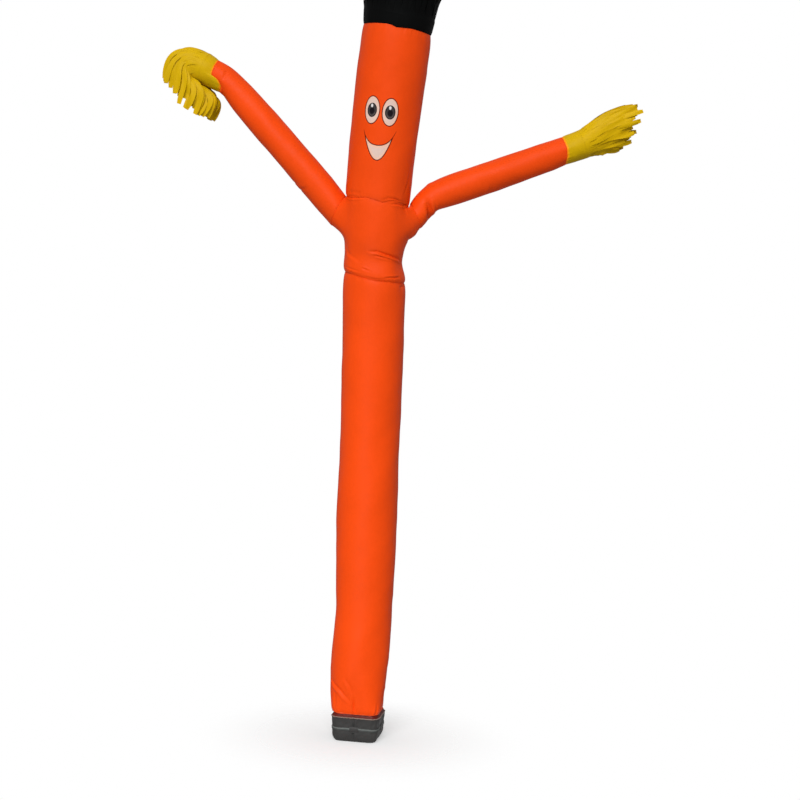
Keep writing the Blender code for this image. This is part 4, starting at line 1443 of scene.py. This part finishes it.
def right_hand_path(fringe, turn, start, across, steps=7):
    """Ribbons that stream out of the right hand and open a little as they go."""
    _, direction, upper, sideways = station_frame(RIGHT_ARM, len(RIGHT_ARM.stations) - 1)
    angle = math.tau * turn
    away = upper * math.cos(angle) + sideways * math.sin(angle)
    under = ((1 - math.cos(angle)) / 2) ** 2
    short = 0.70 * under**2 * (0.75 + 0.25 * scatter(turn, 1.7))
    length = fringe.length * (1 + 0.06 * uneven(turn, 4) + 0.05 * scatter(turn, 1.1) - short)
    point = start
    for step in range(1, steps + 1):
        share = step / steps
        wave = 0.14 * math.sin(math.tau * 0.8 * share + 0.3 + 0.6 * scatter(turn, 0.7))
        opening = 0.10 * math.sin(math.pi * share) - 0.07 + 0.05 * scatter(turn, 2.9) * share
        droop = 0.30 * under**2 * share
        heading = (direction + upper * (0.06 + wave - droop) + away * opening).normalized()
        point = point + heading * length / steps
        yield point, turned_flat(across, heading, sideways, share)


def left_hand_path(fringe, turn, start, across, steps=8):
    """Ribbons that leave the left hand and fall over: the upper ones reach out furthest."""
    _, direction, upper, sideways = station_frame(LEFT_ARM, len(LEFT_ARM.stations) - 1)
    angle = math.tau * turn
    height = (1 + math.cos(angle)) / 2
    away = sideways * math.sin(angle)
    length = fringe.length * (0.82 + 0.28 * height + 0.04 * uneven(turn, 4) + 0.05 * scatter(turn, 1.1))
    bend = 0.14 + 1.10 * height * (1 - 0.10 * abs(scatter(turn, 2.3)))
    point = start
    for step in range(1, steps + 1):
        share = step / steps
        turned = min(share / bend, 1)
        turned = turned * turned * (3 - 2 * turned)
        back = min(max((share - 0.27) / 0.60, 0), 1)
        drift = (1.66 - 2.25 * back * back * (3 - 2 * back)) * (1 - height)
        fallen = Vector((drift, 0, -1)).normalized()
        spread = 0.10 + 0.08 * scatter(turn, 2.9) * share
        heading = (direction.lerp(fallen, turned).normalized() + away * spread).normalized()
        point = point + heading * length / steps
        width = across.copy()
        width.rotate(direction.rotation_difference(heading))
        yield point, turned_flat(width, heading, sideways, share)


def hair_band(turn, up):
    """A point of the narrow band that the hair's ribbons grow from, just above the hair band."""
    section = HAIR_BAND_SECTIONS[-1]
    lifted = section._replace(height=section.height + ROOT_GAP + HAIR_ROOT_HEIGHT * up)
    return Vector(section_ring(lifted, turn * 360))


def hand_band(arm):
    """The same for a hand: a narrow band past the sleeve's last ring."""

    def band(turn, up):
        last = len(arm.stations) - 1
        direction = station_frame(arm, last)[1]
        point = Vector(station_ring(arm, last, [turn * 360])[0])
        return point + direction * (ROOT_GAP + HAND_ROOT_HEIGHT * up)

    return band


def cut_ribbons(name, fringe, band, path, material):
    """A band whose far edge is slit into ribbons, which cup, twist and wave towards their tips."""
    sizes = bpy.context.scene.dancer_sizes
    pitch = 1 / fringe.ribbons
    steps, across = fringe.steps, fringe.across
    share = np.linspace(0, 1, steps + 1)
    sides = np.linspace(-1, 1, across)
    cloth_width = (band(0.5 * pitch, 1) - band(-0.5 * pitch, 1)).length
    width_share = 1 + (fringe.widening - 1) * np.clip(share / WIDENED_BY, 0, 1)
    tube, corners, uvs = [], [], []
    for ribbon in range(fringe.ribbons):
        turn = (ribbon + 0.5) * pitch
        left, right = band(ribbon * pitch, 1), band((ribbon + 1) * pitch, 1)
        half, way = (right - left).length / 2, (right - left).normalized()
        line, ways = [(left + right) / 2], [way]
        for point, wide in path(fringe, turn, line[0], way):
            line.append(point)
            ways.append(wide)
        key = ribbon * 2.4
        where = share * (len(line) - 1) * (1 + 0.05 * math.sin(key * 1.7) - 0.05)
        spine, widths = spline(line, where), spline(ways, where)
        ahead = np.gradient(spine, axis=0)
        facing = np.cross(widths, ahead)
        facing /= np.linalg.norm(facing, axis=1, keepdims=True)
        layer = sizes.layer * (ribbon * 7 % 4 - 1.5) * np.clip(share / CLEAR_BY, 0, 1)
        sway = sizes.flutter * share * np.sin(math.tau * (1.2 + 0.3 * math.sin(key)) * share + key)
        slide = 0.8 * sizes.flutter * share * np.sin(math.tau * 0.9 * share + 2 * key)
        twist = 0.3 * share**1.5 * np.sin(key * 2.3 + 2.0 * share)
        cup = 0.22 * math.sin(key * 1.3) * np.minimum(share * 3, 1)
        turned = np.cos(twist)[:, None] * widths + np.sin(twist)[:, None] * facing
        middle = spine + facing * (sway + layer)[:, None] + widths * slide[:, None]
        taper = 1 - TIP_TAPER * np.clip((share - TIP_START) / TIP_SHARE, 0, 1)
        reach = (half * width_share * taper)[:, None, None]
        lift = half * cup[:, None] * (1 - sides**2)
        lift = lift + 0.3 * sizes.flutter * share[:, None] * np.sin(2.6 * sides + 9 * share[:, None] + key)
        rows = middle[:, None] + turned[:, None] * reach * sides[:, None]
        rows = rows + facing[:, None] * lift[..., None]
        root = [band((ribbon + (side + 1) / 2) * pitch, 0) for side in sides]
        rows[0] = [band((ribbon + (side + 1) / 2) * pitch, 1) for side in sides]
        rows = np.concatenate([[root], rows])
        first = len(tube) * rows.shape[0] * across
        tube.append(rows.reshape(-1, 3))
        row, column = np.meshgrid(np.arange(len(rows) - 1), np.arange(across - 1), indexing="ij")
        quad = [(row, column), (row, column + 1), (row + 1, column + 1), (row + 1, column)]
        corners.append(np.stack([first + r * across + c for r, c in quad], -1).reshape(-1, 4))
        along = np.concatenate([[-0.02], share * fringe.length])
        round_band = (ribbon + (sides + 1) / 2) * cloth_width
        flat = np.stack([np.stack([round_band[c], along[r]], -1) for r, c in quad], 2)
        uvs.append(flat.reshape(-1, 2))
    points, faces, flat_places = (np.concatenate(part) for part in (tube, corners, uvs))
    obj = mesh_object(name, points, faces, flat_places, material)
    shape = bmesh.new()
    shape.from_mesh(obj.data)
    bmesh.ops.remove_doubles(shape, verts=shape.verts[:], dist=0.0003)
    shape.to_mesh(obj.data)
    shape.free()
    give_thickness(obj, sizes.ribbon_cloth)
    return obj


# How much light the room gives from below and from above, and how white its walls look.
ROOM_BELOW, ROOM_ABOVE, ROOM_WHITE = 0.25, 0.44, 1.0
LIGHT_AIM = Vector((0, 0, 2.0))
# How far from the foot the floor starts and ends fading out, and how clear it is at each.
FLOOR_FADE, FLOOR_CLEAR = (0.15, 1.3), (0.40, 1.0)
# The photo's view: how far off and how high the camera is, how far beside the foot and how high it
# looks, how far it stands to the right and rolls, and its lens in millimetres.
CAMERA_AWAY, CAMERA_HEIGHT = 15.5, 4.1
AIM_BESIDE, AIM_HEIGHT = 0.2112, 2.5873
CAMERA_AZIMUTH, CAMERA_ROLL = math.radians(10), math.radians(2.5)
LENS, SENSOR = 93.6, 36


class DANCER_OT_stage(bpy.types.Operator):
    """Set the floor, the lights and the camera"""

    bl_idname = "dancer.stage"
    bl_label = "Stage"

    def execute(self, context):
        scene = context.scene
        only()
        bpy.ops.mesh.primitive_plane_add(size=60, location=(0, 0, -0.001))
        floor = context.object
        floor.name = "studio_floor"
        bpy.ops.object.transform_apply(location=True, rotation=True, scale=True)
        paint = Nodes("studio floor")
        base = tuple(scene.dancer_colours.floor)
        grain = paint.add("TexNoise", {"Scale": 3.0, "Detail": 2.0})
        amount = paint.spread(grain.outputs[0], *NOISE, 0.0, 0.02)
        paint.put(paint.shader, "Base Color", paint.mix(amount, base, shade(base, 0.9)))
        paint.put(paint.shader, "Roughness", 0.8)
        from_foot = paint.vector("LENGTH", paint.vector("SUBTRACT", paint.place(), tuple(FOOT)))
        fade = paint.spread(from_foot, *FLOOR_FADE, *FLOOR_CLEAR, smooth=True)
        clear = paint.add("BsdfTransparent")
        paint.end(paint.add("MixShader", {0: fade, 1: paint.shader, 2: clear}))
        floor.data.materials.append(paint.material)

        scene.world = self.light_room()
        scene.view_settings.view_transform = "Standard"
        self.add_light("key", "SUN", place=(0.1, -9.6, 9.2), power=2.4, angle=math.radians(30))
        self.add_light("low_fill", "AREA", place=(-1.0, -5.5, 0.8), power=75, size=3.0)

        side = Vector((math.cos(CAMERA_AZIMUTH), math.sin(CAMERA_AZIMUTH), 0))
        back = Vector((math.sin(CAMERA_AZIMUTH), -math.cos(CAMERA_AZIMUTH), 0))
        eye = FOOT + back * CAMERA_AWAY + Vector((0, 0, CAMERA_HEIGHT))
        aim = FOOT + side * AIM_BESIDE + Vector((0, 0, AIM_HEIGHT))
        forward = (aim - eye).normalized()
        level = forward.cross(Vector((0, 0, 1))).normalized()
        rise = level.cross(forward)
        right = level * math.cos(CAMERA_ROLL) + rise * math.sin(CAMERA_ROLL)
        up = rise * math.cos(CAMERA_ROLL) - level * math.sin(CAMERA_ROLL)
        camera = bpy.data.objects.new("camera", bpy.data.cameras.new("camera"))
        camera.data.lens = LENS
        camera.data.sensor_width = SENSOR
        turn = Matrix((right, up, -forward)).transposed()
        camera.matrix_world = Matrix.Translation(eye) @ turn.to_4x4()
        scene.collection.objects.link(camera)
        scene.camera = camera
        return {"FINISHED"}

    def light_room(self):
        """A white room, whose walls light the dancer only a little."""
        world = bpy.data.worlds.new("studio")
        world.use_nodes = True
        tree = world.node_tree
        room = tree.nodes["Background"]
        room.inputs[0].default_value = (1.0, 1.0, 1.0, 1)
        seen = tree.nodes.new("ShaderNodeLightPath").outputs["Is Camera Ray"]
        around = tree.nodes.new("ShaderNodeSeparateXYZ")
        tree.links.new(tree.nodes.new("ShaderNodeTexCoord").outputs["Generated"], around.inputs[0])
        given = tree.nodes.new("ShaderNodeMapRange")
        for socket, value in (
            ("From Min", -0.7), ("From Max", 0.7), ("To Min", ROOM_BELOW), ("To Max", ROOM_ABOVE)
        ):
            given.inputs[socket].default_value = value
        tree.links.new(around.outputs[2], given.inputs["Value"])
        strength = tree.nodes.new("ShaderNodeMapRange")
        tree.links.new(given.outputs[0], strength.inputs["To Min"])
        strength.inputs["To Max"].default_value = ROOM_WHITE
        tree.links.new(seen, strength.inputs["Value"])
        tree.links.new(strength.outputs[0], room.inputs[1])
        return world

    def add_light(self, name, kind, place, power, **settings):
        light = bpy.data.lights.new(name, kind)
        light.energy = power
        for setting, value in settings.items():
            setattr(light, setting, value)
        lamp = bpy.data.objects.new(name, light)
        bpy.context.scene.collection.objects.link(lamp)
        lamp.location = place
        lamp.visible_camera = False
        aim = LIGHT_AIM - lamp.location
        lamp.rotation_euler = aim.to_track_quat("-Z", "Y").to_euler()


class DANCER_PT_panel(bpy.types.Panel):
    """The dancer's pieces, sizes and colours"""

    bl_idname = "DANCER_PT_panel"
    bl_label = "Air dancer"
    bl_space_type = "VIEW_3D"
    bl_region_type = "UI"
    bl_category = "Air dancer"

    def draw(self, context):
        for step in STEPS:
            self.layout.operator(step.bl_idname)
        for group in (context.scene.dancer_sizes, context.scene.dancer_colours):
            for name in type(group).__annotations__:
                self.layout.prop(group, name)


STEPS = [
    DANCER_OT_stage,
    DANCER_OT_cuff,
    DANCER_OT_belt,
    DANCER_OT_lower_body,
    DANCER_OT_torso,
    DANCER_OT_head,
    DANCER_OT_arms,
    DANCER_OT_hands,
    DANCER_OT_hair,
]
CLASSES = [DancerSizes, DancerColours, *STEPS, DANCER_PT_panel]


def register():
    for cls in CLASSES:
        bpy.utils.register_class(cls)
    bpy.types.Scene.dancer_sizes = PointerProperty(type=DancerSizes)
    bpy.types.Scene.dancer_colours = PointerProperty(type=DancerColours)


def unregister():
    del bpy.types.Scene.dancer_sizes
    del bpy.types.Scene.dancer_colours
    for cls in reversed(CLASSES):
        bpy.utils.unregister_class(cls)


def main():
    register()
    for step in STEPS:
        group, name = step.bl_idname.split(".")
        getattr(getattr(bpy.ops, group), name)()


if __name__ == "__main__":
    main()
